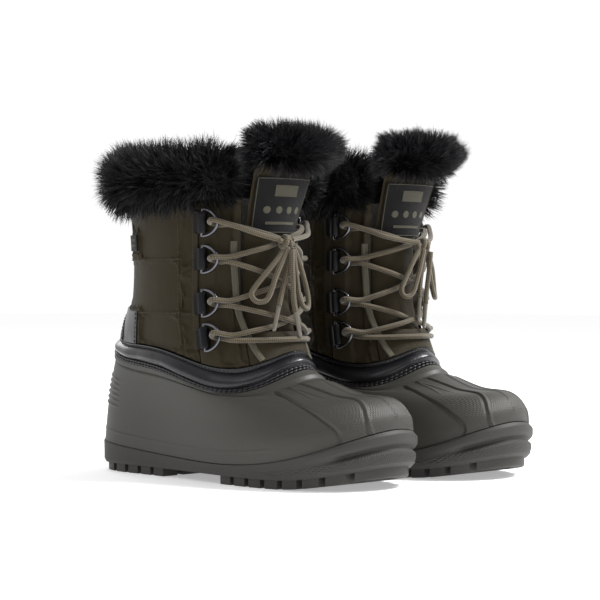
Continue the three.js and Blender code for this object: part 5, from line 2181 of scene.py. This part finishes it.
@dataclass
class Lacing:
    """The round lace through the rings, its knot, its loops and its tails with their tips."""

    radius: float = 2.1
    ring_gap: float = 2.5
    knot_at: tuple[float, float, float] = (6.0, 190.0, 9.0)
    knot_half_width: float = 7.5
    low_strand: float = -2.7
    high_strand: float = 1.9
    aglet_radius: float = 1.9
    aglet_length: float = 20.0

    def knot_centre(self) -> Array:
        """The middle of the knot."""
        return SKIN.by_height(*self.knot_at)

    def turn(self, half: Half, height: float) -> list[Array]:
        """The lace's turn round a ring's bow: in underneath and out on top."""
        reach = RINGS.wire + self.radius + self.ring_gap
        angles = np.radians([-90, -135, 180, 135, 90])
        x, y = RINGS.reach + reach * np.cos(angles), reach * np.sin(angles)
        return list(ring_frame(half, height)(np.column_stack([x, y, np.arange(5) - 2.0])))

    def strand(self, half: Half, start: float, end: float, middle: float) -> list[Array]:
        """A strand across the throat, riding over what lies below."""
        side = (3.2 + middle) / 2
        stops = np.array(
            [(44, 5.4), (31, 3.4), (16, side), (0, middle), (-16, side), (-31, 3.4), (-44, 5.4)]
        )
        height = start + (end - start) * (44 - stops[:, 0]) / 88
        return list(SKIN.by_height(half.value * stops[:, 0], height, stops[:, 1]))

    def route(self) -> Array:
        """The lace from the knot through every ring and back."""
        last = len(RINGS.heights) - 1

        def down(half: Half, cross: float) -> list[Array]:
            """One end's way down through the rings."""
            points, at = [], half
            for i, height in enumerate(RINGS.heights):
                points += self.turn(at, height)[::-1]
                if i < last:
                    points += self.strand(at, height - 2, RINGS.heights[i + 1] + 2, cross)
                    at = Half.INNER if at is Half.OUTER else Half.OUTER
            return points

        def from_knot(half: Half) -> list[Array]:
            """The way from the knot to the top ring."""
            sign, height = half.value, self.knot_at[1]
            start = self.knot_centre() + [sign * (self.knot_half_width - 1.5), -sign * 0.6, 1.5]
            return [
                start,
                SKIN.by_height(sign * 26, height + 6, 8.6),
                SKIN.by_height(sign * 40, height + 12, 9.4),
            ]

        first = from_knot(Half.OUTER) + down(Half.OUTER, self.high_strand)
        second = (from_knot(Half.INNER) + down(Half.INNER, self.low_strand))[::-1]
        low = RINGS.heights[-1] - 2
        across = self.strand(Half.INNER, low, low, 3.6)
        return smooth_line(np.array(first + across + second), 1.6)

    def knot(self) -> Shape:
        """The knot: a wrap round the crossing of the laces."""
        centre = self.knot_centre()
        turn = np.radians(np.linspace(0, 360, 25)[:-1])
        shapes = []
        for x, tilt, width in ((-1.9, 0.35, 4.0), (1.9, -0.3, 4.2)):
            ring = np.column_stack(
                [x + tilt * 4.6 * np.cos(turn), 3.3 * np.sin(turn), width * np.cos(turn)]
            )
            shapes.append(tube(centre + ring, self.radius * 0.95, 12, closed=True))
        ends = [(-8.2, 0.4, -1.6), (-4, 0, -0.4), (0, 0, 0), (4, 0, 0.4), (8, -0.2, 1.4)]
        bar = centre + np.array(ends)
        shapes.append(tube(smooth_line(bar, 1.5), self.radius, 12))
        return Shape.joined(shapes)

    def hang(
        self, name: str, stops: Stops, place: Placement, room: Workroom, tip: int | None
    ) -> None:
        s = np.array(stops, float)
        line = smooth_line(SKIN.by_height(s[:, 0], s[:, 1], s[:, 2]), 1.6)
        craft = Crafted(room.finishes.braid, Finish.LACE, ("lace_bow",))
        obj = make(name, tube(line, self.radius), place, craft)
        path = place.world(line)
        picks = np.linspace(0, len(path) - 1, 26 if tip is None else 16).round().astype(int)
        facts = dict(stiffness="medium", lay="hanging", path=path[picks])
        if tip is not None:
            facts["with_pieces"] = [self.aglet(line, "ab"[tip], place, room)]

    def aglet(
        self, line: Array, letter: str, place: Placement, room: Workroom
    ) -> bpy.types.Object:
        """The hard tip at the end of a tail."""
        ahead = line[-1] - line[-3]
        ahead /= np.linalg.norm(ahead)
        shares = np.array([-0.05, 0.0, 0.04, 0.3, 0.7, 0.93, 1.0])
        reach = self.aglet_radius * np.array([0.9, 1.0, 1.0, 0.96, 0.94, 0.9, 0.55])
        points = line[-1] + ahead * (0.4 + shares * self.aglet_length)[:, None]
        craft = Crafted(room.finishes.aglet, Finish.AGLET, (f"aglet_{letter}",), crease=60)
        return make(f"aglet_{letter}", tube(points, reach, 14), place, craft)

    def build(self, place: Placement, room: Workroom) -> None:
        """Makes the pieces."""
        braid = room.finishes.braid
        craft = Crafted(braid, Finish.LACE, ("lace",))
        make("lace", tube(self.route(), self.radius, 12), place, craft)
        make("lace_knot", self.knot(), place, Crafted(braid, Finish.LACE, ("lace_bow",)))
        bow = BOWS[place.side]
        for i, stops in enumerate(bow.loops):
            self.hang(f"lace_loop_{i + 1}", stops, place, room, None)
        for i, stops in enumerate(bow.tails):
            self.hang(f"lace_tail_{i + 1}", stops, place, room, i)


@dataclass
class SideLabel:
    """The small cloth label on the outer quarter."""

    angle: float = 126.0
    half_angle: float = 6.0
    height: float = 190.0
    size: float = 13.0
    back: float = 0.2
    face: float = 1.5

    def plate(self, x: Span, y: Span, back: float, face: float) -> Shape:
        """A thin plate of the label, between shares of its width and height."""
        across, up = share_grid(x, y, 9, 9)
        angle = self.angle + across * self.half_angle
        return skin_slab(angle, SKIN.level_at(angle, self.height + up * self.size / 2), face, back)

    def build(self, place: Placement, room: Workroom) -> None:
        """Makes the label and its two plain bars."""
        plate = self.plate((-1, 1), (-1, 1), self.back, self.face)
        craft = Crafted(room.finishes.label, Finish.LABEL, ("side_label",), crease=50)
        make("side_label", plate, place, craft)
        bars = [
            self.plate((-0.7, 0.7), span, self.face - 0.2, self.face + 0.25)
            for span in ((0.18, 0.5), (-0.5, -0.18))
        ]
        craft = Crafted(room.finishes.pale, Finish.LABEL, crease=50)
        make("side_label_bars", Shape.joined(bars), place, craft)


# ---- Studio --------------------------------------------------------------------------------------


@dataclass
class Studio:
    """The camera, the pale floor and the soft light."""

    azimuth: float = -47.0
    height: float = 0.154
    distance: float = 1.7
    aim: tuple[float, float] = (-0.0025, 0.0123)
    lens: float = 122.4
    shift: float = -13 / 600
    world: float = 1.02
    room: float = 0.38
    glow: float = 0.36
    floor_half: float = 8.0

    def camera(self) -> None:
        """Places the camera."""
        turn = math.radians(self.azimuth)
        x = self.aim[0] + self.distance * math.sin(turn)
        y = self.aim[1] - self.distance * math.cos(turn)
        data = bpy.data.cameras.new("camera")
        data.lens, data.sensor_width, data.shift_y = self.lens, 36.0, self.shift
        data.clip_end = 50.0
        obj = linked("camera", data)
        obj.location = (x, y, self.height)
        obj.rotation_euler = (math.radians(90), 0, turn)
        bpy.context.scene.camera = obj

    def sky(self, tree: bpy.types.NodeTree) -> None:
        """A white backdrop ahead of the camera, and a dimmer room behind it."""
        c = Canvas(tree)
        turn = math.radians(self.azimuth)
        place = c.node("ShaderNodeTexCoord").outputs["Generated"]
        cut = c.node("ShaderNodeSeparateXYZ", {0: place}).outputs
        across = c.math("MULTIPLY", cut[0], -math.sin(turn))
        ahead = c.math("ADD", across, c.math("MULTIPLY", cut[1], math.cos(turn)))
        bright = c.spread(ahead, -0.2, 0.55, (self.room, self.world))
        c.feed(tree.nodes["Background"], {"Strength": bright, "Color": (1, 1, 1, 1)})

    def light(self, name: str, place: Vector, size: float, power: float) -> None:
        """Adds a soft light that looks at the pair."""
        data = bpy.data.lights.new(name, "AREA")
        data.shape, data.size, data.energy = "DISK", size, power
        obj = linked(name, data)
        obj.location = place
        obj.rotation_euler = (Vector((0, 0, 0.12)) - place).to_track_quat("-Z", "Y").to_euler()

    def build(self) -> None:
        """Sets up the scene round the pair."""
        self.camera()
        scene = bpy.context.scene
        scene.view_settings.view_transform = "Standard"
        world = bpy.data.worlds.new("studio")
        world.use_nodes = True
        self.sky(world.node_tree)
        scene.world = world
        self.light("key", Vector((1.1, -1.3, 1.9)), 0.9, 82.0)
        self.light("side", Vector((-1.6, -0.2, 1.5)), 1.2, 5.0)
        self.light("back", Vector((0.5, 1.6, 1.2)), 0.9, 8.0)
        mesh = bpy.data.meshes.new("floor")
        half = self.floor_half
        corners = [(-half, -half, 0), (half, -half, 0), (half, half, 0), (-half, half, 0)]
        mesh.from_pydata(corners, [], [(0, 1, 2, 3)])
        finish = PlainFinish("Floor", (0.93, 0.93, 0.93), 0.9, mottle=0.0, depth_mm=0.0)
        paint = finish.material()
        shader = paint.node_tree.nodes["Principled BSDF"]
        shader.inputs["Emission Color"].default_value = (1, 1, 1, 1)
        shader.inputs["Emission Strength"].default_value = self.glow
        mesh.materials.append(paint)
        linked("floor", mesh)


def main() -> None:
    """Builds the studio and both boots, and logs each piece's face count."""
    logging.basicConfig(level=logging.INFO, format="%(name)s: %(message)s")
    Studio().build()
    room = Workroom()
    parts = [
        FootShell(), Outsole(), LeatherWork(), Shaft(), TONGUE, FurTrim(), Inside(), Hardware(),
        Lacing(), SideLabel(),
    ]
    for side in Side:
        place = Placement(side)
        for part in parts:
            part.build(place, room)
            log.info("%s boot: %s done", side.value, type(part).__name__)
    room.furrier.put_away()


if __name__ == "__main__":
    main()
